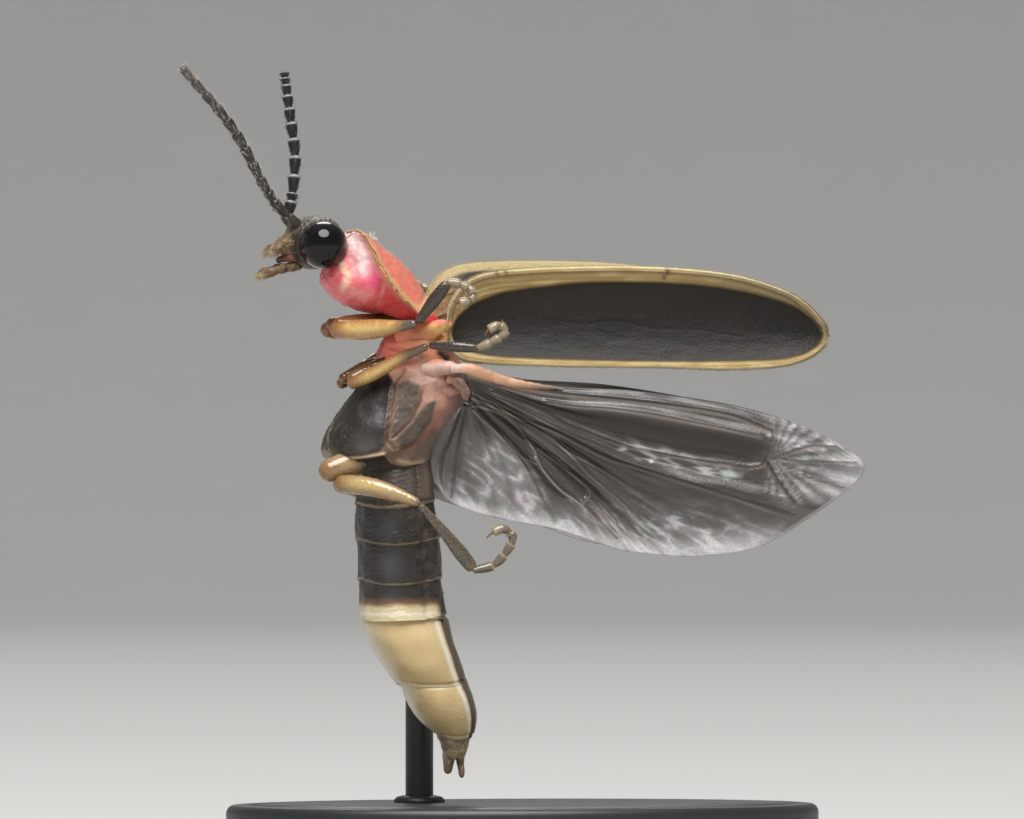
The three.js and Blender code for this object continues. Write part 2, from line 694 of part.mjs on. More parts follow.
function rodForm() {
  const foot = place(rodAcross, baseHeight + gap, rodDepth);
  const rod = new THREE.CylinderGeometry(rodRadius, rodRadius, armUp - foot.z, 20);
  rod.rotateX(Math.PI / 2);
  rod.translate(foot.x, foot.y, (armUp + foot.z) / 2);
  const elbow = ball(new THREE.Vector3(foot.x, foot.y, armUp), rodRadius, 16);
  const armLength = rodDepth - lanternFlank - gap;
  const arm = new THREE.CylinderGeometry(rodRadius * 0.8, rodRadius * 0.8, armLength, 16);
  arm.translate(foot.x, rodDepth - armLength / 2, armUp);
  return fuse(rod, elbow, arm);
}

// The scene graph: each group sits at the root that its meshes hang from
const model = new THREE.Group();

function addGroup(root) {
  const group = new THREE.Group();
  group.position.copy(root);
  model.add(group);
  return group;
}

const head = addGroup(place(-4.96, 15.35));
addPart(head, 'head', headForm(), finishes.skull, head.position);
for (const { name, sign } of sides) {
  addPart(head, `eye_${name}`, eyeForm(sign), finishes.eye, eyeMiddle(sign));
  const points = antennaPaths[name].map((p) => place(...p));
  addPart(head, `antenna_${name}`, antennaForm(points), finishes.antenna, points[0]);
}

const thorax = addGroup(place(-3.2, 12.6));
addPart(thorax, 'pronotum', pronotumForm(), finishes.shield, place(-3.2, 15.0));
addPart(thorax, 'prothorax', prothoraxForm(), finishes.rosy, place(-4.0, 14.5));
addPart(thorax, 'mesothorax', mesothoraxForm(), finishes.orange, thorax.position);
addPart(thorax, 'metathorax', metathoraxForm(), finishes.darkPlate, place(-3.2, 11.0));

const abdomen = addGroup(place(-3.2, 9.4));
const rings = ringedForm(abdomenLines, abdomenHalves, ringCount, 24);
addPart(abdomen, 'abdomen', rings, finishes.darkPlate, abdomen.position);
addPart(abdomen, 'lantern_front', lanternOneForm(), finishes.lantern, place(-2.9, 6.0));
addPart(abdomen, 'lantern_rear', lanternTwoForm(), finishes.lantern, place(-2.25, 4.3));
addPart(abdomen, 'tail', tailForm(), finishes.shield, place(-1.7, 3.0));

for (const { name, sign } of sides) {
  addPart(thorax, `elytron_${name}`, elytronForm(sign), finishes.elytron, sidePlace(coverRoot, sign));
  addPart(thorax, `hindwing_${name}`, hindwingForm(sign), finishes.membrane, sidePlace(wingHinge, sign));
  for (const which of ['fore', 'middle', 'hind']) {
    const own = which === 'hind' && sign > 0;
    const leg = own ? legs.hindRight : legs[which];
    const side = own ? -1 : sign; // its own places need no mirroring
    const upper = `${which}leg_${name}_upper`;
    const lower = `${which}leg_${name}_lower`;
    addPart(thorax, upper, upperLegForm(leg, side), finishes.golden, sidePlace(leg.hip[0], side));
    addPart(thorax, lower, lowerLegForm(leg, side), finishes.darkLeg, sidePlace(leg.shin[0], side));
  }
}

addPart(model, 'stand_base', baseForm(), finishes.stand);
addPart(model, 'stand_rod', rodForm(), finishes.stand, place(rodAcross, baseHeight, rodDepth));

export default model;
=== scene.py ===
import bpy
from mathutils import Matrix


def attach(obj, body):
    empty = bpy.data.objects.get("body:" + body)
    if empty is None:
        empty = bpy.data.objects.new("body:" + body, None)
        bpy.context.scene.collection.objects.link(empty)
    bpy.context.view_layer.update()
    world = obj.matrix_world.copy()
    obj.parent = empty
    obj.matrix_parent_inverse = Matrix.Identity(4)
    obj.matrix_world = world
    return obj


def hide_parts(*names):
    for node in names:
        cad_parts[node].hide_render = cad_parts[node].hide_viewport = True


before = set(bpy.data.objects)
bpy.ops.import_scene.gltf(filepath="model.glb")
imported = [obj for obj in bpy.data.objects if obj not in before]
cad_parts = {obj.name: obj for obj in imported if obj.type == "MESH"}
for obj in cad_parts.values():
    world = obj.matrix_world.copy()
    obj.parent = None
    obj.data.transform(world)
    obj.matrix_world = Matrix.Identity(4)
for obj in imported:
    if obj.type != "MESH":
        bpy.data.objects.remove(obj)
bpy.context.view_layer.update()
print("frame loaded with", len(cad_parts), "CAD nodes")

import bpy
import numpy as np
from mathutils import Vector

# Everything below is worked out in millimetres and put into metres when its mesh is made.
# "across" and "up" are places as the camera sees them, "depth" is how far past the mid-plane.
mm = 0.001
viewTurn = np.radians(12.0)
rng = np.random.default_rng(7)
body = "root"


# Camera, floor and lights
studio = {
    "imageMiddle": (-0.275, 11.2625),  # across and up at the middle of the picture
    "frameWidth": 25.6,                # millimetres across the picture
    "lens": 500.0,
    "sensor": 36.0,
    "floorColour": (0.52, 0.515, 0.50),
    "floorReach": 400.0,               # flat part of the floor, then it curves up
    "floorCurve": 260.0,
    "wallTop": 900.0,
}


def place(across, up, depth=0.0):
    # model place of a seen place: x = (across + depth sin turn) / cos turn, y = depth, z = up
    across, up, depth = np.broadcast_arrays(*(np.asarray(v, float) for v in (across, up, depth)))
    return np.stack([(across + depth * np.sin(viewTurn)) / np.cos(viewTurn), depth, up], -1)


def seenFromLeft(points):
    # the reverse of place for the left side, with the right side's points mirrored onto it
    return points[..., 0] * np.cos(viewTurn) + np.abs(points[..., 1]) * np.sin(viewTurn), points[..., 2]


camData = bpy.data.cameras.new("camera")
camData.lens = studio["lens"]
camData.sensor_width = studio["sensor"]
camData.clip_start = 0.01
camData.clip_end = 20
camera = bpy.data.objects.new("camera", camData)
bpy.context.scene.collection.objects.link(camera)
target = Vector(place(*studio["imageMiddle"]) * mm)
distance = studio["lens"] / studio["sensor"] * studio["frameWidth"] * mm
bpy.context.scene.view_settings.view_transform = "Standard"
camera.location = target + Vector((-np.sin(viewTurn), -np.cos(viewTurn), 0)) * distance
camera.rotation_euler = (np.pi / 2, 0, -viewTurn)
bpy.context.scene.camera = camera
print("camera set, looking", round(distance, 3), "m")


# Working out surfaces
def smooth(points, t):
    # Catmull-Rom: on each span a cubic that meets both ends with half the chord over each end as slope
    p = np.asarray(points, float)
    p = p[:, None] if p.ndim == 1 else p
    p = np.vstack([2 * p[0] - p[1], p, 2 * p[-1] - p[-2]])
    s = np.clip(np.asarray(t, float), 0, 1) * (len(p) - 3)
    i = np.minimum(s.astype(int), len(p) - 4)
    f = (s - i)[..., None]
    a, b, c, d = p[i], p[i + 1], p[i + 2], p[i + 3]
    return 0.5 * (2 * b + (c - a) * f + (2 * a - 5 * b + 4 * c - d) * f**2 + (3 * b - a - 3 * c + d) * f**3)


def evenly(points, share):
    # the same curve read at equal steps of its length
    fine = smooth(points, np.linspace(0, 1, 400))
    run = np.concatenate([[0], np.cumsum(np.linalg.norm(np.diff(fine, axis=0), axis=1))])
    return np.stack([np.interp(np.asarray(share) * run[-1], run, fine[:, k]) for k in range(fine.shape[1])], -1)


def step(low, high, value):
    # 0 below low, 1 above high, 3f^2 - 2f^3 between
    f = np.clip((value - low) / (high - low), 0, 1)
    return f * f * (3 - 2 * f)


def bell(value, width):
    return np.exp(-((value / width) ** 2))


def unit(v):
    return v / np.maximum(np.linalg.norm(v, axis=-1, keepdims=True), 1e-12)


def waves(points, size, seed, count=14):
    # sum of sines in random directions, about -1 to 1, for bumps of the given size
    own = np.random.default_rng(seed)
    directions = unit(own.normal(size=(count, 3))) * (2 * np.pi / size) * own.uniform(0.6, 1.5, (count, 1))
    phases = own.uniform(0, 2 * np.pi, count)
    return np.sin(points @ directions.T + phases).sum(-1) / np.sqrt(count * 2)


def lineDistance(u, v, line):
    # least distance from each (u, v) to the straight spans of a line
    line = np.asarray(line, float)
    best = np.full(np.shape(u), 1e9)
    for (x0, y0), (x1, y1) in zip(line[:-1], line[1:]):
        dx, dy = x1 - x0, y1 - y0
        f = np.clip(((u - x0) * dx + (v - y0) * dy) / (dx * dx + dy * dy), 0, 1)
        best = np.minimum(best, np.hypot(u - x0 - f * dx, v - y0 - f * dy))
    return best


def slopes(grid, wrap, inner=None):
    # unit normal, along and around directions at each point of a grid; the normal points away from inner,
    # or from the middle of each ring
    along = np.gradient(grid, axis=0)
    around = (np.roll(grid, -1, 1) - np.roll(grid, 1, 1)) / 2 if wrap else np.gradient(grid, axis=1)
    normal = unit(np.cross(around, along))
    inner = grid.mean(1, keepdims=True) if inner is None else inner
    if np.sum(normal * (grid - inner)) < 0:
        normal = -normal
    return normal, unit(along), unit(around)


def ringSurface(belly, back, half, rows, around, power=2.2):
    # ring at t: middle of belly and back + their half difference * C + side * half * S,
    # where C and S are cosine and sine to the power 2/power with their signs kept
    t = np.linspace(0, 1, rows)
    a = np.arange(around) / around * 2 * np.pi
    low, high, wide = place(*smooth(belly, t).T), place(*smooth(back, t).T), smooth(half, t)
    c = np.sign(np.cos(a)) * np.abs(np.cos(a)) ** (2 / power)
    s = np.sign(np.sin(a)) * np.abs(np.sin(a)) ** (2 / power)
    grid = ((low + high) / 2)[:, None] + ((high - low) / 2)[:, None] * c[None, :, None]
    grid[..., 1] += wide * s[None]
    return grid


def tubeSurface(path, radii, rows, around, flat=1.0, knots=None):
    # ring at t: path point + radius * (cos a * up + flat * sin a * side), both square to the path
    t = np.linspace(0, 1, rows)
    centre = evenly(path, t)
    tangent = unit(np.gradient(centre, axis=0))
    up = unit(np.cross(np.array([0.0, 1.0, 0.0]), tangent))
    side = np.cross(tangent, up)
    radius = smooth(radii, t)[:, 0] if knots is None else np.interp(t, knots, radii)
    a = (np.arange(around) + 0.5) / around * 2 * np.pi
    return (centre[:, None] + radius[:, None, None]
            * (np.cos(a)[None, :, None] * up[:, None] + flat * np.sin(a)[None, :, None] * side[:, None]))


# Meshes: quads and triangles as whole arrays
def tubeFaces(rows, around):
    i, k = np.meshgrid(np.arange(rows - 1), np.arange(around), indexing="ij")
    n = (k + 1) % around
    return np.stack([i * around + k, i * around + n, (i + 1) * around + n, (i + 1) * around + k], -1).reshape(-1, 4)


def closedTube(grid):
    # a tube whose two ends run in to a pole at the middle of the end ring
    rows, around = grid.shape[:2]
    points = np.concatenate([grid.reshape(-1, 3), grid[0].mean(0)[None], grid[-1].mean(0)[None]])
    k = np.arange(around)
    n = (k + 1) % around
    last = (rows - 1) * around
    first = np.stack([np.full(around, rows * around), n, k], -1)
    final = np.stack([np.full(around, rows * around + 1), last + k, last + n], -1)
    t = np.concatenate([np.repeat(np.linspace(0, 1, rows), around), [0, 1]])
    return facingOut({"points": points, "quads": tubeFaces(rows, around), "tris": np.concatenate([first, final]),
                      "grid": grid, "t": t})


def closedSheet(front, back):
    # two faces of one sheet joined all round: each row is the front left to right and the back right to left
    rows, columns = front.shape[:2]
    ring = np.concatenate([front, back[:, ::-1]], 1)
    around = 2 * columns
    k = np.arange(columns - 1)
    first = np.stack([k + 1, k, around - 1 - k, around - 2 - k], -1)
    quads = np.concatenate([tubeFaces(rows, around), first, first[:, ::-1] + (rows - 1) * around])
    return facingOut({"points": ring.reshape(-1, 3), "quads": quads, "tris": np.zeros((0, 3), int),
                      "grid": front, "inner": back})


def facingOut(surface):
    # turns the faces over if the volume they enclose comes out negative
    p, q, t = surface["points"], surface["quads"], surface["tris"]
    faces = np.concatenate([q[:, [0, 1, 2]], q[:, [0, 2, 3]], t])
    a, b, c = p[faces[:, 0]], p[faces[:, 1]], p[faces[:, 2]]
    if np.sum(a * np.cross(b, c)) < 0:
        surface["quads"], surface["tris"] = q[:, ::-1], t[:, ::-1]
    return surface


def joined(surfaces):
    # several surfaces as one mesh
    points, quads, tris, tones, start = [], [], [], [], 0
    for s in surfaces:
        points.append(s["points"])
        quads.append(s["quads"] + start)
        tris.append(s["tris"] + start)
        if "tone" in s:
            tones.append(s["tone"])
        start += len(s["points"])
    whole = {"points": np.concatenate(points), "quads": np.concatenate(quads), "tris": np.concatenate(tris)}
    if tones:
        whole["tone"] = np.concatenate(tones)
    return whole


def mirror(surface):
    # the same surface on the other side of the mid-plane
    other = dict(surface)
    other["points"] = surface["points"] * (1, -1, 1)
    if "grid" in surface:
        other["grid"] = surface["grid"] * (1, -1, 1)
    return facingOut(other)


def makePiece(name, surface, material, nodes=()):
    mesh = bpy.data.meshes.new(name)
    points, quads, tris = surface["points"], surface["quads"], surface["tris"]
    loops = np.concatenate([quads.ravel(), tris.ravel()]).astype(np.int32)
    starts = np.concatenate([np.arange(len(quads)) * 4, len(quads) * 4 + np.arange(len(tris)) * 3])
    mesh.vertices.add(len(points))
    mesh.vertices.foreach_set("co", (points * mm).astype(np.float32).ravel())
    mesh.loops.add(len(loops))
    mesh.loops.foreach_set("vertex_index", loops)
    mesh.polygons.add(len(starts))
    mesh.polygons.foreach_set("loop_start", starts.astype(np.int32))
    mesh.update(calc_edges=True)
    mesh.polygons.foreach_set("use_smooth", np.ones(len(starts), bool))
    if "tone" in surface:
        tone = mesh.attributes.new("tone", "FLOAT_COLOR", "POINT")
        full = np.concatenate([surface["tone"], np.ones((len(points), 1))], 1)
        tone.data.foreach_set("color", full.astype(np.float32).ravel())
    if "uv" in surface:
        uv = mesh.uv_layers.new(name="OFBake")
        uv.data.foreach_set("uv", surface["uv"][loops].astype(np.float32).ravel())
    mesh.materials.append(material)
    piece = bpy.data.objects.new(name, mesh)
    bpy.context.scene.collection.objects.link(piece)
    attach(piece, body)
    if nodes:
        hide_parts(*nodes)
    return piece


# Coats of bristles
def readGrid(values, t, a, wrap):
    # bilinear reading of a grid at shares t along and a around
    rows, columns = values.shape[:2]
    y = np.clip(t, 0, 1) * (rows - 1)
    x = a * columns if wrap else np.clip(a, 0, 1) * (columns - 1)
    i, k = np.minimum(y.astype(int), rows - 2), x.astype(int)
    k = k % columns if wrap else np.minimum(k, columns - 2)
    n = (k + 1) % columns if wrap else k + 1
    f, g = (y - i)[:, None], (x - np.floor(x))[:, None] if wrap else (x - k)[:, None]
    return ((1 - f) * ((1 - g) * values[i, k] + g * values[i, n])
            + f * ((1 - g) * values[i + 1, k] + g * values[i + 1, n]))


def bristles(grid, wrap, look, keep=None):
    # each bristle starts at a random grid place and runs along its lie, lifted off by lift and bent back by bend:
    # centre(s) = root + length * (s * direction - bend * s^2 * normal), a three-sided cone, straight in one span
    # or curved in two
    own = np.random.default_rng(look["seed"])
    count = look["count"]
    t = own.uniform(*look.get("along", (0, 1)), count)
    a = own.uniform(*look.get("around", (0, 1)), count)
    normal, along, around = slopes(grid, wrap, look.get("inner"))
    root, n = readGrid(grid, t, a % 1 if wrap else a, wrap), readGrid(normal, t, a % 1 if wrap else a, wrap)
    chosen = np.ones(count, bool) if keep is None else keep(root, t, a, own)
    root, n, t, a = root[chosen], n[chosen], t[chosen], a[chosen]
    lieAlong, lieAround = look["lie"]
    direction = readGrid(along, t, a % 1 if wrap else a, wrap) * lieAlong
    direction += readGrid(around, t, a % 1 if wrap else a, wrap) * lieAround
    direction = unit(direction + n * look["lift"] + own.normal(size=root.shape) * look["stray"])
    length = look["length"] * own.uniform(0.6, 1.25, (len(root), 1))
    side = unit(np.cross(direction, n + 0.01))
    other = np.cross(direction, side)
    angles = np.arange(3) / 3 * 2 * np.pi
    rings = []
    spans = ((-0.06, 1.0), (0.5, 0.75)) if look.get("curved") else ((-0.06, 1.0),)
    for s, wide in spans:
        centre = root + length * (s * direction - look["bend"] * s * s * n)
        for angle in angles:
            rings.append(centre + look["width"] * wide * (np.cos(angle) * side + np.sin(angle) * other))
    rings.append(root + length * (direction - look["bend"] * n))
    points = np.stack(rings, 1)
    tip = 3 * len(spans)
    base = np.arange(len(root))[:, None, None] * (tip + 1)
    k = np.arange(3)
    m = (k + 1) % 3
    quads = np.stack([k, m, m + 3, k + 3], -1)[None] + base if tip > 3 else np.zeros((0, 4), int)
    tris = np.concatenate([np.stack([k, m, k * 0 + 3], -1) + tip - 3, [[2, 1, 0]]])[None] + base
    patch = np.array([[0, 0], [1, 0], [0.5, 1], [0.2, 0.4], [0.8, 0.4], [0.5, 1.2], [0.5, 0.8]]) * 0.0025
    patch = patch if tip > 3 else patch[[0, 1, 2, 6]]
    uv = np.stack([a % 1 * 0.98, t * 0.98], -1)[:, None] + patch[None]
    return {"points": points.reshape(-1, 3), "quads": quads.reshape(-1, 4), "tris": tris.reshape(-1, 3),
            "uv": uv.reshape(-1, 2)}


def joinedCoat(coats):
    whole = joined(coats)
    whole["uv"] = np.concatenate([c["uv"] for c in coats])
    return whole


# Materials
def addNode(tree, kind, settings=None, **inputs):
    made = tree.nodes.new(kind)
    for key, value in (settings or {}).items():
        setattr(made, key, value)
    for key, value in inputs.items():
        socket = made.inputs[key.replace("_", " ")]
        if isinstance(value, bpy.types.NodeSocket):
            tree.links.new(value, socket)
        else:
            socket.default_value = value
    return made


def mixColours(tree, factor, a, b, blend="MIX"):
    made = tree.nodes.new("ShaderNodeMix")
    made.data_type = "RGBA"
    made.blend_type = blend
    for socket, value in ((made.inputs[0], factor), (made.inputs[6], a), (made.inputs[7], b)):
        if isinstance(value, bpy.types.NodeSocket):
            tree.links.new(value, socket)
        else:
            socket.default_value = value
    return made.outputs[2]


def makeMaterial(name, look):
    # colour: the piece's own tone, or a plain colour, broken up by two sizes of noise;
    # roughness and bump from noise and, where asked, from small cells
    material = bpy.data.materials.new(name)
    material.use_nodes = True
    tree = material.node_tree
    shader = tree.nodes["Principled BSDF"]
    where = addNode(tree, "ShaderNodeTexCoord").outputs["Object"]
    large = addNode(tree, "ShaderNodeTexNoise", Vector=where, Scale=1 / (look["patch"] * mm), Detail=3.0)
    small = addNode(tree, "ShaderNodeTexNoise", Vector=where, Scale=1 / (look["grain"] * mm), Detail=4.0)
    if "colour" in look:
        tone = mixColours(tree, large.outputs["Fac"], (*look["colour"], 1), (*look["second"], 1))
    else:
        tone = addNode(tree, "ShaderNodeAttribute", {"attribute_name": "tone"}).outputs["Color"]
    dark = (*[1 - look["mottle"]] * 3, 1)
    light = (*[1 + look["mottle"] * 0.6] * 3, 1)
    mottling = mixColours(tree, small.outputs["Fac"], dark, light)
    tone = mixColours(tree, 1.0, tone, mottling, "MULTIPLY")
    tree.links.new(tone, shader.inputs["Base Color"])
    rough = addNode(tree, "ShaderNodeMapRange", Value=small.outputs["Fac"])
    rough.inputs["To Min"].default_value = look["rough"][0]
    rough.inputs["To Max"].default_value = look["rough"][1]
    tree.links.new(rough.outputs["Result"], shader.inputs["Roughness"])
    height = small.outputs["Fac"]
    if "cells" in look:
        cells = addNode(tree, "ShaderNodeTexVoronoi", Vector=where, Scale=1 / (look["cells"] * mm))
        height = addNode(tree, "ShaderNodeMath", {"operation": "ADD"}).outputs[0]
        tree.links.new(small.outputs["Fac"], height.node.inputs[0])
        tree.links.new(cells.outputs["Distance"], height.node.inputs[1])
    bump = addNode(tree, "ShaderNodeBump", Height=height, Distance=look["bump"] * mm, Strength=look.get("press", 0.6))
    tree.links.new(bump.outputs["Normal"], shader.inputs["Normal"])
    for key, value in look.get("shader", {}).items():
        shader.inputs[key].default_value = value
    return material


skinGlow = {"Subsurface Weight": 0.35, "Subsurface Radius": (0.5, 0.2, 0.12), "Subsurface Scale": 0.4 * mm}
looks = {
    "eye": {"colour": (0.004, 0.0035, 0.004), "second": (0.008, 0.006, 0.006), "patch": 0.6, "grain": 0.05,
            "mottle": 0.2, "rough": (0.05, 0.09), "cells": 0.028, "bump": 0.0008, "press": 0.4,
            "shader": {"Coat Weight": 1.0, "Coat Roughness": 0.02, "Coat IOR": 1.32, "Specular IOR Level": 0.1}},
    "chitin": {"patch": 0.25, "grain": 0.05, "mottle": 0.35, "rough": (0.28, 0.6), "cells": 0.05, "bump": 0.008},
    "feeler": {"patch": 0.3, "grain": 0.03, "mottle": 0.35, "rough": (0.28, 0.55), "cells": 0.03, "bump": 0.005},
    "shield": {"patch": 0.5, "grain": 0.06, "mottle": 0.16, "rough": (0.3, 0.5), "cells": 0.07, "bump": 0.008,
               "shader": {**skinGlow, "Coat Weight": 0.3, "Coat Roughness": 0.25}},
    "skin": {"patch": 0.5, "grain": 0.05, "mottle": 0.18, "rough": (0.36, 0.6), "cells": 0.06, "bump": 0.007,
             "shader": {**skinGlow, "Coat Weight": 0.16, "Coat Roughness": 0.3}},
    "amber": {"patch": 0.4, "grain": 0.045, "mottle": 0.16, "rough": (0.15, 0.38), "bump": 0.005,
              "shader": {"Subsurface Weight": 0.3, "Subsurface Radius": (0.5, 0.28, 0.1),
                         "Subsurface Scale": 0.25 * mm, "Coat Weight": 0.6, "Coat Roughness": 0.12}},
    "rings": {"patch": 0.4, "grain": 0.05, "mottle": 0.3, "rough": (0.3, 0.55), "cells": 0.07, "bump": 0.009,
              "shader": {"Coat Weight": 0.15, "Coat Roughness": 0.25}},
    "lantern": {"patch": 0.5, "grain": 0.06, "mottle": 0.07, "rough": (0.34, 0.5), "bump": 0.005,
                "shader": {"Subsurface Weight": 0.5, "Subsurface Radius": (0.5, 0.4, 0.22),
                           "Subsurface Scale": 0.5 * mm, "Coat Weight": 0.4, "Coat Roughness": 0.22}},
    "cover": {"patch": 0.6, "grain": 0.05, "mottle": 0.3, "rough": (0.42, 0.62), "cells": 0.045, "bump": 0.010,
              "shader": {"Specular IOR Level": 0.28}},
    "membrane": {"patch": 0.7, "grain": 0.055, "mottle": 0.42, "rough": (0.24, 0.44), "bump": 0.016,
                 "press": 0.85, "shader": {"Alpha": 0.95, "Coat Weight": 0.35, "Coat Roughness": 0.24,
                                          "Thin Film Thickness": 380.0, "Thin Film IOR": 1.5}},
    "bristle": {"colour": (0.46, 0.35, 0.19), "second": (0.66, 0.54, 0.34), "patch": 0.4, "grain": 0.1,
                "mottle": 0.2, "rough": (0.35, 0.55), "bump": 0.001},
    "fairHair": {"colour": (0.60, 0.46, 0.33), "second": (0.82, 0.72, 0.58), "patch": 0.4, "grain": 0.1,
                 "mottle": 0.2, "rough": (0.35, 0.55), "bump": 0.001},
    "down": {"colour": (0.10, 0.075, 0.05), "second": (0.26, 0.20, 0.13), "patch": 0.4, "grain": 0.1,
             "mottle": 0.2, "rough": (0.35, 0.6), "bump": 0.001},
    "whiteHair": {"colour": (0.78, 0.74, 0.68), "second": (0.90, 0.88, 0.84), "patch": 0.4, "grain": 0.1,
                  "mottle": 0.15, "rough": (0.35, 0.55), "bump": 0.001},
    "claw": {"colour": (0.25, 0.12, 0.05), "second": (0.10, 0.05, 0.03), "patch": 0.1, "grain": 0.03,
             "mottle": 0.2, "rough": (0.15, 0.3), "bump": 0.002},
    "stand": {"colour": (0.018, 0.018, 0.02), "second": (0.03, 0.03, 0.033), "patch": 2.0, "grain": 0.12,
              "mottle": 0.25, "rough": (0.34, 0.46), "bump": 0.002},
}
materials = {name: makeMaterial(name, look) for name, look in looks.items()}
print("materials made:", len(materials))


def towards(tone, mask, colour):
    # tone moved to colour by mask
    return tone + (np.asarray(colour) - tone) * np.clip(mask, 0, 1)[..., None]


# Studio floor: a disc that curves up into a round wall, and soft lights
def makeStudio():
    r0, curve, top = studio["floorReach"], studio["floorCurve"], studio["wallTop"]
    bend = np.linspace(0, np.pi / 2, 24)
    radius = np.concatenate([[1.0, 60.0, 150.0], r0 + curve * np.sin(bend), [r0 + curve]])
    height = np.concatenate([[0.0, 0.0, 0.0], curve * (1 - np.cos(bend)), [top]])
    a = np.arange(96) / 96 * 2 * np.pi
    grid = np.stack([radius[:, None] * np.cos(a), radius[:, None] * np.sin(a),
                     np.repeat(height[:, None], 96, 1)], -1)
    points = np.concatenate([grid.reshape(-1, 3), [[0, 0, 0]]])
    k = np.arange(96)
    fan = np.stack([np.full(96, len(points) - 1), k, (k + 1) % 96], -1)
    mesh = bpy.data.meshes.new("floor")
    mesh.from_pydata((points * mm).tolist(), [], tubeFaces(len(radius), 96)[:, ::-1].tolist() + fan.tolist())
    mesh.polygons.foreach_set("use_smooth", np.ones(len(mesh.polygons), bool))
    look = {"colour": studio["floorColour"], "second": studio["floorColour"], "patch": 80.0, "grain": 6.0,
            "mottle": 0.02, "rough": (0.7, 0.8), "bump": 0.01}
    mesh.materials.append(makeMaterial("floor", look))
    floor = bpy.data.objects.new("floor", mesh)
    bpy.context.scene.collection.objects.link(floor)


def softLight(name, spot, size, power, colour=(1, 1, 1)):
    # an area light at a place in millimetres, aimed at the middle of the animal
    data = bpy.data.lights.new(name, "AREA")
    data.shape = "DISK"
    data.size = size * mm
    data.energy = power
    data.color = colour
    light = bpy.data.objects.new(name, data)
    light.location = Vector(spot) * mm
    aim = Vector((0, 0, 11 * mm)) - light.location
    light.rotation_euler = aim.to_track_quat("-Z", "Y").to_euler()
    bpy.context.scene.collection.objects.link(light)


makeStudio()
softLight("key", (-44, -206, 375), 330, 2.7)
softLight("rim", (60, 330, 330), 200, 0.45)
world = bpy.data.worlds.new("world")
world.use_nodes = True
world.node_tree.nodes["Background"].inputs["Color"].default_value = (0.95, 0.97, 1.0, 1)
world.node_tree.nodes["Background"].inputs["Strength"].default_value = 0.3
bpy.context.scene.world = world
print("studio ready")


# Head: skull, jaws and palps
headLook = {
    "belly": [(-4.45, 14.95), (-4.85, 14.79), (-5.3, 14.76), (-5.66, 14.84), (-5.9, 14.98), (-6.0, 15.1)],
    "back": [(-4.42, 15.4), (-4.72, 15.95), (-5.16, 16.1), (-5.56, 16.06), (-5.84, 15.8), (-6.02, 15.42)],
    "half": [0.25, 0.62, 0.64, 0.56, 0.4, 0.24],
    "eyeMiddle": (-5.1, 15.35),
    "eyeSpread": 0.68,
    "eyeRadius": 0.6,
    "socketRim": 0.05,
    "pits": 0.012,
    "upperPalp": [(-5.6, 15.3, 0.26), (-5.84, 15.4, 0.38), (-6.04, 15.36, 0.44), (-6.22, 15.26, 0.46), (-6.38, 15.14, 0.44)],
    "lowerPalp": [(-5.56, 14.84, 0.16), (-5.86, 14.8, 0.24), (-6.12, 14.76, 0.3), (-6.36, 14.68, 0.32), (-6.6, 14.55, 0.3)],
    "jaw": [(-5.58, 15.02, 0.24), (-5.84, 15.04, 0.3), (-6.04, 15.0, 0.2), (-6.1, 14.95, 0.0), (-6.06, 14.92, -0.1)],
    "lip": [(-5.8, 15.62, 0.0), (-6.02, 15.42, 0.0), (-6.16, 15.24, 0.0), (-6.2, 15.12, 0.0)],
}


def midPlace(across, up, side):
    # a place that both sides share, given in the mid-plane and then moved sideways
    points = place(across, up, 0.0)
    points[..., 1] = side
    return points


def sidePath(points, sign=1):
    p = np.asarray(points, float)
    return midPlace(p[:, 0], p[:, 1], p[:, 2] * sign)


def eyeCentre(sign):
    return midPlace(*headLook["eyeMiddle"], sign * headLook["eyeSpread"])


def pushOut(grid, amount, wrap=True, inner=None):
    # every grid point moved along its own normal by amount
    normal = slopes(grid, wrap, inner)[0]
    return grid + normal * amount[..., None]


def jointed(t, shares, low=0.62, round=0.12):
    # radius factor of a jointed limb: within each joint it grows from low to 1 and rounds off at the end
    bounds = np.concatenate([[0], np.cumsum(shares) / np.sum(shares)])
    k = np.clip(np.searchsorted(bounds, t, side="right") - 1, 0, len(shares) - 1)
    f = (t - bounds[k]) / (bounds[k + 1] - bounds[k])
    grow = low + (1 - low) * np.sin(np.clip(f / (1 - round), 0, 1) * np.pi / 2)
    return grow * np.sqrt(np.clip(1 - np.clip((f - 1 + round) / round, 0, 0.92) ** 2, 0, 1)), k, f


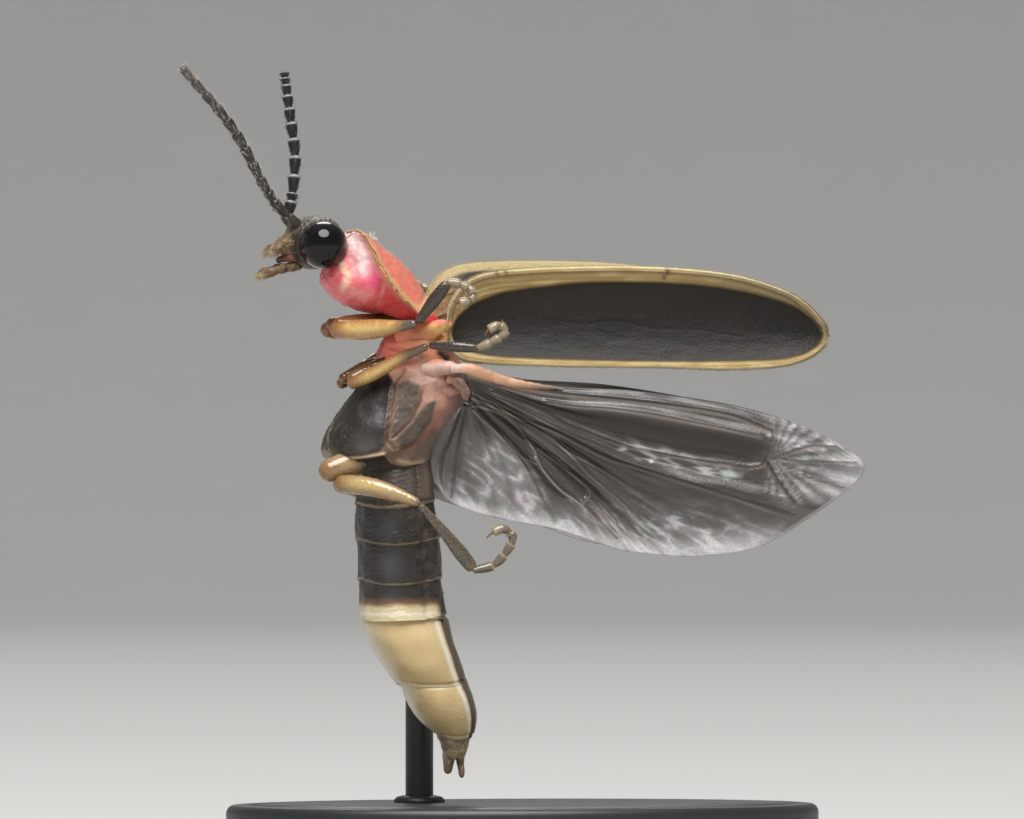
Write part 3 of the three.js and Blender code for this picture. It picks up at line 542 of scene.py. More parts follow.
def makeHead():
    skull = ringSurface(headLook["belly"], headLook["back"], headLook["half"], 90, 110, 2.35)
    rise = waves(skull, 0.09, 3) * headLook["pits"]
    for sign in (-1, 1):
        reach = np.linalg.norm(skull - eyeCentre(sign), axis=-1)
        rise = rise + headLook["socketRim"] * bell(reach - headLook["eyeRadius"] - 0.05, 0.06)
        rise = rise + 0.07 * bell(np.linalg.norm(skull - midPlace(-5.72, 15.9, sign * 0.3), axis=-1), 0.16)
    rise = rise - 0.06 * bell(np.linalg.norm(skull - midPlace(-5.5, 16.05, 0.0), axis=-1), 0.25)
    surface = closedTube(pushOut(skull, rise))
    u, v = seenFromLeft(surface["points"])
    tone = np.ones_like(surface["points"]) * (0.045, 0.036, 0.028)
    tone = towards(tone, 0.7 * step(-0.1, 0.7, waves(surface["points"], 0.13, 5)), (0.17, 0.14, 0.10))
    tone = towards(tone, step(15.75, 15.6, v) * step(-5.45, -5.6, u), (0.035, 0.020, 0.014))
    tone = towards(tone, step(15.8, 15.6, v) * step(-5.74, -5.86, u), (0.34, 0.23, 0.12))
    tone = towards(tone, bell(np.hypot(u + 5.93, v - 15.1), 0.1), (0.35, 0.03, 0.01))
    tone = towards(tone, step(15.0, 14.85, v), (0.10, 0.07, 0.05))
    surface["tone"] = tone
    parts = [surface]
    for sign in (-1, 1):
        for points, shares, radii, seed in (
            (headLook["upperPalp"], [0.7, 1.0, 0.7, 1.5], [0.1, 0.1, 0.105, 0.125, 0.05], 11),
            (headLook["lowerPalp"], [1.0, 1.0, 1.7], [0.1, 0.12, 0.14, 0.15, 0.06], 12),
        ):
            t = np.linspace(0, 1, 60)
            factor = jointed(t, shares, 0.7)[0]
            radius = np.interp(t, np.linspace(0, 1, 5), radii) * factor
            palp = closedTube(tubeSurface(sidePath(points, sign), radius, 60, 20, 1.0, t))
            tip = step(0.86, 1.0, palp["t"])
            base = np.ones_like(palp["points"]) * (0.17, 0.10, 0.05)
            base = towards(base, step(-0.1, 0.8, waves(palp["points"], 0.2, seed)), (0.05, 0.03, 0.02))
            palp["tone"] = towards(base, tip, (0.40, 0.27, 0.15))
            parts.append(palp)
        t = np.linspace(0, 1, 40)
        jaw = closedTube(tubeSurface(sidePath(headLook["jaw"], sign), 0.11 * (1 - t) ** 0.6 + 0.012, 40, 20, 0.7, t))
        jaw["tone"] = towards(np.ones_like(jaw["points"]) * (0.16, 0.06, 0.025), step(0.45, 0.8, jaw["t"]),
                              (0.06, 0.02, 0.012))
        parts.append(jaw)
        socket = tubeSurface(sidePath([(-5.68, 15.86, 0.34), (-5.82, 16.0, 0.39), (-5.9, 16.1, 0.42)], sign),
                             np.array([0.13, 0.115, 0.08]), 16, 28, 1.0, np.array([0, 0.6, 1]))
        socket = closedTube(socket)
        socket["tone"] = np.ones_like(socket["points"]) * (0.045, 0.033, 0.024)
        parts.append(socket)
    t = np.linspace(0, 1, 30)
    lip = closedTube(tubeSurface(sidePath(headLook["lip"]), 0.08 + 0.04 * np.sin(t * np.pi), 30, 28, 2.6, t))
    lip["tone"] = np.ones_like(lip["points"]) * (0.26, 0.17, 0.085)
    parts.append(lip)
    makePiece("skull", joined(parts), materials["chitin"], ["head"])
    coats = []
    for sign in (-1, 1):
        for points, radii, seed in ((headLook["upperPalp"], 0.09, 21), (headLook["lowerPalp"], 0.085, 22)):
            grid = tubeSurface(sidePath(points, sign), np.full(30, radii), 30, 16, 1.0, np.linspace(0, 1, 30))
            coats.append(bristles(grid, True, {"count": 260, "curved": True, "seed": seed, "lie": (1, 0), "lift": 0.35, "stray": 0.2,
                                               "length": 0.14, "width": 0.0055, "bend": 0.2}))
    brush = tubeSurface(sidePath(headLook["lip"]), np.full(30, 0.1), 30, 24, 2.6, np.linspace(0, 1, 30))
    coats.append(bristles(brush, True, {"count": 420, "curved": True, "seed": 24, "lie": (1, 0), "lift": 0.4, "stray": 0.2,
                                        "length": 0.15, "width": 0.0055, "bend": 0.2}))
    clear = lambda root, t, a, own: np.minimum(
        np.linalg.norm(root - eyeCentre(-1), axis=-1), np.linalg.norm(root - eyeCentre(1), axis=-1)) > 0.72
    coats.append(bristles(surface["grid"], True, {"count": 1300, "seed": 23, "lie": (1, 0), "lift": 0.35,
                                                  "stray": 0.25, "length": 0.09, "width": 0.0034, "bend": 0.35,
                                                  "along": (0.15, 1.0)}, clear))
    makePiece("headHair", joinedCoat(coats), materials["bristle"])


def makeEye(sign, side):
    rows, around = 72, 120
    polar = np.linspace(0.02, np.pi - 0.02, rows)[:, None]
    turn = np.arange(around)[None] / around * 2 * np.pi
    ball = np.stack([np.sin(polar) * np.cos(turn), np.cos(polar) + 0 * turn, np.sin(polar) * np.sin(turn)], -1)
    surface = closedTube(eyeCentre(sign) + headLook["eyeRadius"] * ball)
    makePiece(f"eye{side}", surface, materials["eye"], [f"eye_{side.lower()}"])


# Feelers: eleven joints, each widest near its far end, with stiff bristles that point to the tip
feelerLook = {
    "Left": [(-5.9, 16.1, -0.42), (-6.18, 16.42, -0.6), (-6.5, 16.93, -0.75), (-7.25, 18.3, -1.0), (-8.47, 19.75, -1.3)],
    "Right": [(-5.86, 16.1, 0.42), (-5.78, 16.5, 0.5), (-5.72, 17.0, 0.6), (-5.7, 17.7, 0.8), (-5.85, 18.8, 1.1),
              (-5.97, 19.7, 1.3)],
    "joints": {"Left": [1.35, 0.6, 1, 1, 1, 1, 1, 1, 1, 1, 1.1],
               "Right": [0.85, 0.4, 1.04, 1.03, 0.97, 0.88, 0.79, 0.7, 0.56, 0.36, 0.3]},
    "radii": [0.14, 0.135, 0.14, 0.135, 0.125, 0.11],
    "farWider": 1.1,
}


def makeFeeler(side):
    t = np.linspace(0, 1, 240)
    factor, joint, f = jointed(t, feelerLook["joints"][side], 0.72 if side == "Left" else 0.6, 0.14)
    radius = np.interp(t, np.linspace(0, 1, 6), feelerLook["radii"]) * factor
    radius = radius * (feelerLook["farWider"] if side == "Right" else 1)
    path = place(*np.array(feelerLook[side]).T)
    grid = tubeSurface(path, radius, 240, 24, 1.0, t)
    surface = closedTube(grid)
    f = np.concatenate([np.repeat(f, 24), [0, 1]])
    # the far feeler's tone is painted darker than the near one's, as painted shade
    tone = np.ones_like(surface["points"]) * ((0.026, 0.024, 0.024) if side == "Left" else (0.010, 0.009, 0.009))
    if side == "Left":
        tone = towards(tone, 0.6 * step(-0.2, 0.8, waves(surface["points"] * (1, 1, 0.4), 0.08, 33)), (0.075, 0.070, 0.069))
        tone = towards(tone, step(0.12, 0.0, f) * 0.5, (0.12, 0.09, 0.065))
        tone = towards(tone, 0.4 * step(0.6, 1.0, surface["t"]), (0.16, 0.14, 0.135))
    else:
        # painted highlight: a pale ring at the wide end of each joint
        tone = towards(tone, bell(f - 0.84, 0.06), (0.42, 0.43, 0.45))
    surface["tone"] = tone
    makePiece(f"feeler{side}", surface, materials["feeler"], [f"antenna_{side.lower()}"])
    # the far feeler's bristles take the dark down colour, as painted shade
    look = {"count": 520 if side == "Left" else 260, "curved": True, "seed": 31, "lie": (1, 0), "lift": 0.75, "stray": 0.14,
            "length": 0.15, "width": 0.006, "bend": 0.3, "along": (0.05, 1.0)}
    makePiece(f"feelerHair{side}", bristles(grid, True, look), materials["fairHair" if side == "Left" else "down"])


# Shield over the prothorax
shieldLook = {
    "crest": [(-4.24, 15.7), (-3.97, 15.62), (-3.62, 15.31), (-3.22, 14.99), (-2.82, 14.59), (-2.42, 13.98)],
    "margin": [(-4.19, 15.7, -0.5), (-4.0, 15.62, -1.1), (-3.76, 15.3, -1.45), (-3.5, 14.78, -1.66),
               (-3.1, 14.18, -1.75), (-2.52, 13.58, -1.75)],
    "upward": (0.72, 0.0, 0.69),
    "thick": 0.13,
    "rim": 0.05,
}


def makeShield():
    rows, columns = 110, 150
    t = np.linspace(0, 1, rows)
    s = -np.cos(np.linspace(0, np.pi, columns))
    crest = place(*smooth(shieldLook["crest"], t).T, 0.0)
    margin = place(*smooth(shieldLook["margin"], t).T)
    # from the crest to the margin by |s| to the power 2.4, so the shield is flat on top and steep at its sides
    droop = np.abs(s)[None, :, None] ** 2.4
    top = crest[:, None] + (margin - crest)[:, None] * droop
    top[..., 1] = np.abs(margin[:, 1])[:, None] * s[None]
    t2, s2 = np.meshgrid(t, s, indexing="ij")
    upward = np.array(shieldLook["upward"])
    edge = np.minimum(1 - np.abs(s2), np.minimum(t2, 1 - t2) * 2.2)
    rise = shieldLook["rim"] * bell(edge - 0.03, 0.035) - 0.035 * bell(edge - 0.11, 0.05)
    rise = rise - 0.03 * bell(s2, 0.07) * step(0.1, 0.3, t2) * step(1.0, 0.8, t2)
    rise = rise + 0.05 * (bell(np.abs(s2) - 0.38, 0.2) * bell(t2 - 0.62, 0.25))
    rise = rise + waves(top, 0.14, 41) * 0.012 + waves(top, 0.4, 42) * 0.015
    top = top + upward * rise[..., None]
    body = shieldLook["thick"] * np.sqrt(np.clip(edge / 0.12, 0.02, 1))
    surface = closedSheet(top, top - upward * body[..., None])
    t3 = np.concatenate([t2, t2[:, ::-1]], 1).ravel()
    s3 = np.abs(np.concatenate([s2, s2[:, ::-1]], 1).ravel())
    points = surface["points"]
    tone = np.ones_like(points) * (0.74, 0.17, 0.11)
    tone = towards(tone, 0.5 * step(-0.3, 0.7, waves(points, 0.5, 43)), (0.80, 0.21, 0.17))
    blotch = np.hypot(s3 / 0.24, (t3 - 0.6) / 0.26) + 0.14 * waves(points, 0.3, 48)
    tone = towards(tone, step(1.15, 0.7, blotch), (0.035, 0.02, 0.018))
    tone = towards(tone, 0.8 * step(0.86, 0.94, s3), (0.74, 0.33, 0.14))
    tone = towards(tone, step(0.27, 0.12, t3), (0.46, 0.17, 0.07))
    tone = towards(tone, 0.8 * step(0.955, 0.98, s3), (0.58, 0.33, 0.12))
    tone = towards(tone, 0.6 * step(0.9, 0.97, t3), (0.80, 0.48, 0.22))
    surface["tone"] = tone
    makePiece("shield", surface, materials["shield"], ["pronotum"])
    coat = {"count": 8500, "seed": 44, "lie": (0.6, 0.0), "lift": 1.0, "stray": 0.3, "length": 0.07,
            "width": 0.0024, "bend": 0.4}
    fringe = coat | {"count": 1500, "seed": 46, "length": 0.10, "width": 0.0045, "along": (0.3, 0.98), "around": (0.4, 0.6)}
    tuft = {"count": 60, "curved": True, "seed": 45, "lie": (0.5, 0.0), "lift": 1.2, "stray": 0.6, "length": 0.32,
            "width": 0.011, "bend": 0.4, "along": (0.25, 0.31), "around": (0.43, 0.55)}
    coats = [bristles(top, False, coat | {"inner": surface["inner"]}),
             bristles(top, False, fringe | {"inner": surface["inner"]})]
    makePiece("shieldHair", joinedCoat(coats), materials["fairHair"])
    makePiece("shieldTuft", bristles(top, False, tuft | {"inner": surface["inner"]}), materials["whiteHair"])


# Thorax: one skin from the neck to the waist, with its plates and seams pressed in
thoraxLook = {
    "belly": [(-5.0, 14.9), (-4.98, 14.72), (-4.99, 14.4), (-4.66, 14.05), (-4.15, 13.76), (-3.45, 13.62), (-2.98, 13.5),
              (-3.0, 13.3), (-3.28, 13.05), (-3.5, 12.7), (-3.75, 12.3), (-4.12, 11.75), (-4.5, 11.25),
              (-4.82, 10.72), (-4.93, 10.3), (-4.84, 10.02), (-4.4, 9.85), (-4.1, 9.72)],
    "back": [(-4.42, 15.66), (-4.28, 15.42), (-4.02, 15.08), (-3.7, 14.74), (-3.38, 14.42), (-2.95, 14.02), (-2.42, 13.86),
             (-2.14, 13.55), (-1.98, 13.3), (-1.85, 13.02), (-1.72, 12.72), (-1.6, 12.42), (-1.5, 12.0),
             (-1.5, 11.5), (-1.68, 11.05), (-1.95, 10.7), (-2.25, 10.3), (-2.42, 9.95)],
    "half": [0.66, 0.85, 1.03, 1.15, 1.15, 0.95, 0.72, 0.72, 0.85, 0.95, 1.0, 1.1, 1.25, 1.42, 1.45, 1.4, 1.2, 1.05],
    "shieldShare": 0.35,  # share of the length that lies under the shield
    "seams": [  # line, depth of the groove, half width
        ([(-2.95, 12.2), (-3.2, 11.86), (-3.29, 11.23), (-3.36, 10.49), (-3.2, 10.3)], 0.06, 0.035),
        ([(-2.5, 11.75), (-2.55, 11.47), (-2.8, 10.98), (-3.22, 10.56)], 0.05, 0.03),
        ([(-2.85, 12.0), (-2.9, 11.86), (-3.15, 11.37), (-3.22, 10.95)], 0.03, 0.02),
        ([(-3.3, 12.75), (-2.9, 12.66), (-2.55, 12.52)], 0.05, 0.05),
    ],
    "roots": [  # of the cover, the wing and the skin behind it, and of the knob where the veins meet
        ([(-2.95, 13.05, -0.5), (-2.5, 13.2, -0.95), (-2.1, 13.3, -1.25), (-1.75, 13.42, -1.42)], (0.42, 0.33, 0.22, 0.12), 0.9),
        ([(-2.75, 12.05, -0.65), (-2.35, 12.2, -1.05), (-1.95, 12.3, -1.4), (-1.45, 12.26, -1.6)], (0.42, 0.32, 0.2, 0.12), 0.9),
        ([(-2.75, 11.35, -0.75), (-2.3, 11.6, -1.0), (-1.9, 11.72, -1.25), (-1.5, 11.72, -1.45)], (0.44, 0.32, 0.2, 0.1), 0.6),
        ([(-2.3, 12.75, -0.9), (-2.0, 12.95, -1.2), (-1.8, 13.1, -1.35)], (0.2, 0.14, 0.08), 1.0),
        ([(-1.86, 12.02, -1.42), (-1.64, 11.95, -1.58), (-1.47, 11.76, -1.66), (-1.37, 11.48, -1.66)], (0.10, 0.13, 0.13, 0.08), 0.9),
    ],
    "rim": [(-4.4, 11.55), (-4.69, 11.1), (-4.86, 10.6), (-4.84, 10.18), (-4.69, 10.06), (-4.13, 10.0), (-3.47, 10.16)],
    "plate": [(-3.4, 12.2), (-3.2, 11.86), (-3.29, 11.23), (-3.38, 10.5), (-3.6, 10.25), (-4.13, 10.1),
              (-4.75, 10.15), (-5.3, 10.6), (-5.0, 11.4), (-4.4, 12.2)],
    "sidePlate": [(-3.17, 11.85), (-2.9, 11.95), (-2.62, 11.85), (-2.55, 11.47), (-2.8, 10.98), (-3.24, 10.58), (-3.3, 11.12)],
    "hindPlate": [(-3.12, 10.55), (-2.72, 10.98), (-2.35, 11.4), (-2.2, 11.45), (-2.31, 10.98), (-2.72, 10.45), (-3.0, 10.32)],
}


def signedDistance(u, v, loop):
    # distance to a closed line, positive inside, by counting crossings of a level ray
    loop = np.asarray(loop, float)
    inside = np.zeros(np.shape(u), bool)
    for (x0, y0), (x1, y1) in zip(loop, np.roll(loop, -1, 0)):
        crosses = (y0 > v) != (y1 > v)
        inside ^= crosses & (u < x0 + (x1 - x0) * (v - y0) / (y1 - y0 + 1e-12))
    reach = lineDistance(u, v, np.vstack([loop, loop[:1]]))
    return np.where(inside, reach, -reach)


def thoraxTone(points):
    u, v = seenFromLeft(points)
    grain = waves(points, 0.35, 51)

    def nearLine(line, wide):
        return bell(lineDistance(u, v, line), wide)

    pink = np.ones_like(points) * (0.80, 0.125, 0.155)
    pink = towards(pink, 0.5 * step(0.0, 0.9, waves(points, 0.3, 46)), (0.76, 0.085, 0.095))
    pink = towards(pink, 0.4 * step(0.1, 0.9, waves(points, 0.4, 45)), (0.90, 0.38, 0.33))
    pink = towards(pink, 0.8 * bell(np.hypot(u + 3.72, v - 14.5), 0.3), (0.80, 0.075, 0.22))
    # painted highlight: a white-pink streak on the flank behind the eye
    pink = towards(pink, 0.9 * nearLine([(-4.36, 15.66), (-4.15, 15.35), (-3.97, 15.05), (-4.0, 14.8)], 0.24), (0.97, 0.72, 0.70))
    pink = towards(pink, 0.85 * nearLine([(-4.53, 14.9), (-4.34, 14.57), (-4.46, 14.3)], 0.11), (0.93, 0.60, 0.42))
    pink = towards(pink, 0.6 * nearLine([(-3.9, 14.1), (-4.3, 14.2)], 0.14), (0.90, 0.40, 0.36))
    pink = towards(pink, step(-3.62, -3.46, u) * step(14.3, 14.2, v + 0.85 * (u + 3.4)) * 0.85, (0.80, 0.085, 0.09))
    # painted highlight: a faint pale line along the crease on the flank
    pink = towards(pink, 0.35 * nearLine([(-3.45, 14.38), (-3.5, 14.12), (-3.62, 13.92), (-3.66, 13.7)], 0.05), (0.88, 0.42, 0.32))
    pink = towards(pink, 0.85 * nearLine([(-3.95, 15.62), (-3.74, 15.2), (-3.5, 14.66), (-3.1, 14.1), (-2.55, 13.6)], 0.07),
                   (0.76, 0.36, 0.16))
    pink = towards(pink, 0.7 * step(13.95, 13.7, v), (0.74, 0.09, 0.08))
    middle = np.ones_like(points) * (0.66, 0.25, 0.13)
    middle = towards(middle, step(-2.9, -3.3, u), (0.78, 0.17, 0.13))
    middle = towards(middle, 0.5 * step(-0.2, 0.8, grain), (0.60, 0.19, 0.12))
    middle = towards(middle, 0.95 * bell(np.hypot(u + 2.05, v - 13.3), 0.36), (0.80, 0.50, 0.16))
    # painted shade: a dark brown line on the body just under the middle thigh
    middle = towards(middle, 0.8 * nearLine([(-2.5, 12.5), (-3.1, 12.35)], 0.13), (0.24, 0.06, 0.04))
    middle = towards(middle, 0.95 * nearLine([(-2.42, 12.24), (-1.8, 12.3)], 0.17), (0.93, 0.74, 0.69))
    middle = towards(middle, 0.8 * nearLine([(-1.75, 12.32), (-1.3, 12.26)], 0.17), (0.84, 0.54, 0.40))
    # painted shade: a near-black patch in the dent between the cover root and the wing root
    middle = towards(middle, 0.95 * nearLine([(-2.08, 12.66), (-1.93, 12.54)], 0.075), (0.03, 0.014, 0.012))
    chest = np.ones_like(points) * (0.25, 0.155, 0.105)
    chest = towards(chest, 0.7 * step(-0.3, 0.7, grain), (0.33, 0.21, 0.15))
    chest = towards(chest, step(11.7, 12.05, v), (0.58, 0.34, 0.26))
    chest = towards(chest, step(-2.75, -2.3, u) * step(10.4, 11.0, v), (0.60, 0.33, 0.25))
    chest = towards(chest, 0.6 * nearLine([(-2.1, 11.2), (-2.3, 10.7), (-2.9, 10.3)], 0.12), (0.24, 0.085, 0.05))
    chest = towards(chest, 0.5 * step(0.1, 0.8, waves(points, 0.22, 49)) * step(-3.0, -2.6, u), (0.38, 0.22, 0.16))
    chest = towards(chest, 0.6 * nearLine([(-1.75, 11.6), (-2.0, 11.1)], 0.2), (0.50, 0.25, 0.19))
    chest = towards(chest, 0.9 * nearLine([(-1.62, 11.98), (-1.44, 11.76), (-1.36, 11.45)], 0.15), (0.15, 0.105, 0.075))
    chest = towards(chest, 0.8 * nearLine([(-3.1, 9.99), (-2.75, 9.92), (-2.5, 9.98)], 0.05), (0.62, 0.46, 0.29))
    upper = step(13.55, 13.3, v)
    tone = towards(pink, upper, (0, 0, 0)) + middle * upper[:, None]
    lower = step(12.45, 12.1, v)
    tone = tone * (1 - lower)[:, None] + chest * lower[:, None]
    plate = step(-0.05, 0.0, signedDistance(u, v, thoraxLook["plate"]))
    tone = towards(tone, plate, (0.017, 0.013, 0.010))
    tone = towards(tone, 0.8 * plate * step(0.1, 0.9, waves(points, 0.4, 58)), (0.045, 0.036, 0.030))
    # painted sheen: a grey patch on the dark chest plate
    tone = towards(tone, plate * bell(np.hypot(u + 3.9, v - 10.32), 0.3), (0.085, 0.072, 0.070))
    tone = towards(tone, 0.8 * bell(np.hypot(u + 4.85, v - 10.12), 0.16), (0.20, 0.14, 0.08))
    for key in ("sidePlate", "hindPlate"):
        inside = step(-0.10, 0.02, signedDistance(u, v, thoraxLook[key]))
        tone = towards(tone, inside, (0.085, 0.060, 0.044))
        tone = towards(tone, 0.5 * inside * step(-0.2, 0.8, waves(points, 0.14, 59)), (0.16, 0.12, 0.09))
    for line, depth, wide in thoraxLook["seams"]:
        tone = towards(tone, 0.7 * nearLine(line, wide * 0.7), (0.20, 0.07, 0.035))
        tone = towards(tone, 0.35 * bell(lineDistance(u, v, line) - 1.8 * wide, wide * 0.6), (0.38, 0.24, 0.15))
    rim = nearLine(thoraxLook["rim"], 0.026) * step(-0.9, 0.3, waves(points, 0.25, 42))
    tone = towards(tone, 0.7 * rim, (0.36, 0.28, 0.17))
    tone = towards(tone, 0.95 * nearLine([(-4.5, 10.03), (-4.0, 10.07), (-3.47, 10.17)], 0.04), (0.82, 0.68, 0.45))
    below = np.interp(u, [-5.2, -4.6, -4.5, -3.45, -3.3, -2.9, -2.3], [9.6, 9.9, 9.99, 10.12, 9.92, 9.82, 9.75])
    tone = towards(tone, step(0.03, -0.03, v - below), (0.035, 0.022, 0.016))
    return tone


def toMargin(grid):
    # the flanks are drawn out to the underside of the shield's margin: point + weight * (margin - point)
    rows, around = grid.shape[:2]
    s = np.linspace(0, 1, rows) / thoraxLook["shieldShare"]
    margin = place(*smooth(shieldLook["margin"], s).T) - 0.02 * np.array(shieldLook["upward"])
    a = np.angle(np.exp(2j * np.pi * np.arange(around) / around))
    weight = bell(np.abs(a) - 0.95, 0.52)[None] * step(1.3, 1.02, s)[:, None]
    side = np.stack([np.ones(around), np.where(a > 0, -1, 1), np.ones(around)], -1)
    return grid + weight[..., None] * (margin[:, None] * side[None] - grid)


def makeThorax():
    grid = ringSurface(thoraxLook["belly"], thoraxLook["back"], thoraxLook["half"], 380, 210, 2.25)
    grid = toMargin(grid)
    u, v = seenFromLeft(grid)
    rise = waves(grid, 0.5, 52) * 0.012 + waves(grid, 0.12, 53) * 0.004
    for line, depth, wide in thoraxLook["seams"]:
        reach = lineDistance(u, v, line)
        rise = rise - depth * bell(reach, wide) + 0.3 * depth * bell(reach - 2.2 * wide, wide)
    rise = rise + 0.04 * bell(lineDistance(u, v, thoraxLook["rim"]), 0.04)
    rise = rise - 0.15 * bell(lineDistance(u, v, [(-2.08, 12.66), (-1.93, 12.54)]), 0.09)
    for key in ("plate", "sidePlate", "hindPlate"):
        rise = rise + 0.03 * step(-0.09, 0.07, signedDistance(u, v, thoraxLook[key]))
    # soft swellings and creases of the pink flanks in front of the fore legs
    rise = rise + step(13.5, 13.9, v) * (waves(grid, 0.26, 44) * 0.012 - 0.02 * bell(waves(grid, 0.5, 43), 0.12))
    rise = rise - 0.03 * bell(lineDistance(u, v, [(-3.5, 14.44), (-3.57, 14.1), (-3.66, 13.7)]), 0.07)
    rise = rise + 0.10 * bell(np.hypot(u + 3.95, v - 14.35), 0.4) + 0.06 * bell(np.hypot(u + 4.4, v - 14.3), 0.25)
    rise = rise - 0.06 * bell(lineDistance(u, v, [(-4.3, 15.0), (-4.18, 14.6), (-4.3, 14.2)]), 0.12)
    # a collar swells out of the body round each root: 0.12 mm high at the root's skin, falling off as a bell
    roots = []
    for line, radii, flat in thoraxLook["roots"]:
        path = place(*np.array(line).T)
        fine = smooth(path, np.linspace(0, 1, 40))
        wide = np.interp(np.linspace(0, 1, 40), np.linspace(0, 1, len(radii)), radii)
        near = np.stack([grid[..., 0], -np.abs(grid[..., 1]), grid[..., 2]], -1)
        away = np.min(np.linalg.norm(near[:, :, None] - fine[None, None], axis=-1) - wide[None, None], axis=2)
        rise = rise + 0.12 * bell(np.clip(away, 0, None), 0.3) * step(-0.35, -0.05, away)
        root = tubeSurface(path, np.array(radii), 44, 36, flat, np.linspace(0, 1, len(radii)))
        shrink = np.sqrt(1 - 0.99 * np.clip((np.linspace(0, 1, 44) - 0.75) / 0.25, 0, 1) ** 2)[:, None, None]
        middle = root.mean(1, keepdims=True)
        root = middle + (root - middle) * shrink
        roots.append(pushOut(root, waves(root, 0.3, 54) * 0.02 + waves(root, 0.12, 50) * 0.006))
    grid = pushOut(grid, rise)
    surface = closedTube(grid)
    parts = [surface]
    for root in roots:
        parts += [closedTube(root), closedTube(root * (1, -1, 1))]
    whole = joined(parts)
    whole["tone"] = thoraxTone(whole["points"])
    makePiece("thorax", whole, materials["skin"], ["prothorax", "mesothorax", "metathorax"])
    fluff = {"lie": (1.0, 0.0), "stray": 0.3, "bend": 0.3}
    onPlate = lambda root, t, a, own: signedDistance(*seenFromLeft(root), thoraxLook["plate"]) > 0.02
    onSide = lambda root, t, a, own: (seenFromLeft(root)[1] < 13.4) & (own.uniform(size=len(root)) < 0.7)
    patch = lambda root, t, a, own: own.uniform(size=len(root)) < 0.9 * bell(
        np.hypot((seenFromLeft(root)[0] + 4.42) * 1.2, seenFromLeft(root)[1] - 10.62), 0.27)
    coats = [
        bristles(grid, True, fluff | {"count": 9000, "seed": 55, "lift": 0.3, "length": 0.09, "width": 0.0032,
                                      "along": (0.55, 1.0)}, onPlate),
        bristles(grid, True, fluff | {"count": 5000, "seed": 56, "lift": 0.25, "length": 0.06, "width": 0.0028,
                                      "along": (0.3, 1.0)}, onSide),
    ]
    makePiece("thoraxDown", joinedCoat(coats), materials["down"])
    golden = bristles(grid, True, fluff | {"count": 16000, "seed": 57, "lift": 0.3, "stray": 0.14, "length": 0.06,
                                           "width": 0.0026, "along": (0.55, 1.0)}, patch)
    makePiece("thoraxHair", golden, materials["bristle"])


# Wing covers: hollow side out, a raised golden rim round a dark wrinkled field
coverLook = {
    "top": [(-1.9, 13.28), (-1.78, 13.98), (-1.18, 14.58), (0.23, 14.78), (2.88, 14.83), (5.05, 14.66), (6.42, 14.28),
            (7.05, 13.92), (7.45, 13.5), (7.57, 13.3), (7.6, 13.12)],
    "low": [(-1.9, 13.28), (-1.68, 12.6), (-0.9, 12.4), (1.3, 12.32), (3.35, 12.3), (5.05, 12.25), (6.42, 12.33),
            (7.12, 12.54), (7.48, 12.8), (7.57, 12.95), (7.6, 13.12)],
    "field": [(-1.23, 13.89), (-0.56, 14.16), (0.1, 14.28), (1.45, 14.43), (3.0, 14.45), (4.13, 14.4), (5.1, 14.29),
              (5.8, 14.15), (6.4, 13.98), (6.85, 13.8), (7.2, 13.54), (7.4, 13.3), (7.47, 13.1), (7.38, 12.88),
              (7.15, 12.7), (6.8, 12.57), (6.2, 12.48), (4.5, 12.44), (3.0, 12.45), (1.45, 12.48), (0.0, 12.53),
              (-0.9, 12.6), (-1.5, 12.78), (-1.73, 13.1), (-1.62, 13.5)],
    "wavyLine": [(0.55, 13.55), (1.6, 13.42), (2.4, 13.5), (3.4, 13.3), (4.5, 13.25), (5.55, 13.08)],
    "rootDepth": 1.45,
    "tipDepth": 2.75,
    "bow": 0.42,
    "thick": 0.1,
    "rimRise": 0.09,
    "farRoot": (-1.9, 13.3, 1.3),
    "farLift": 0.27,   # the far cover is held a little higher and its tip a little lower
    "farTilt": 0.03,
}


def depthAt(across, root, tip):
    return root + (tip - root) * (across + 2) / 10


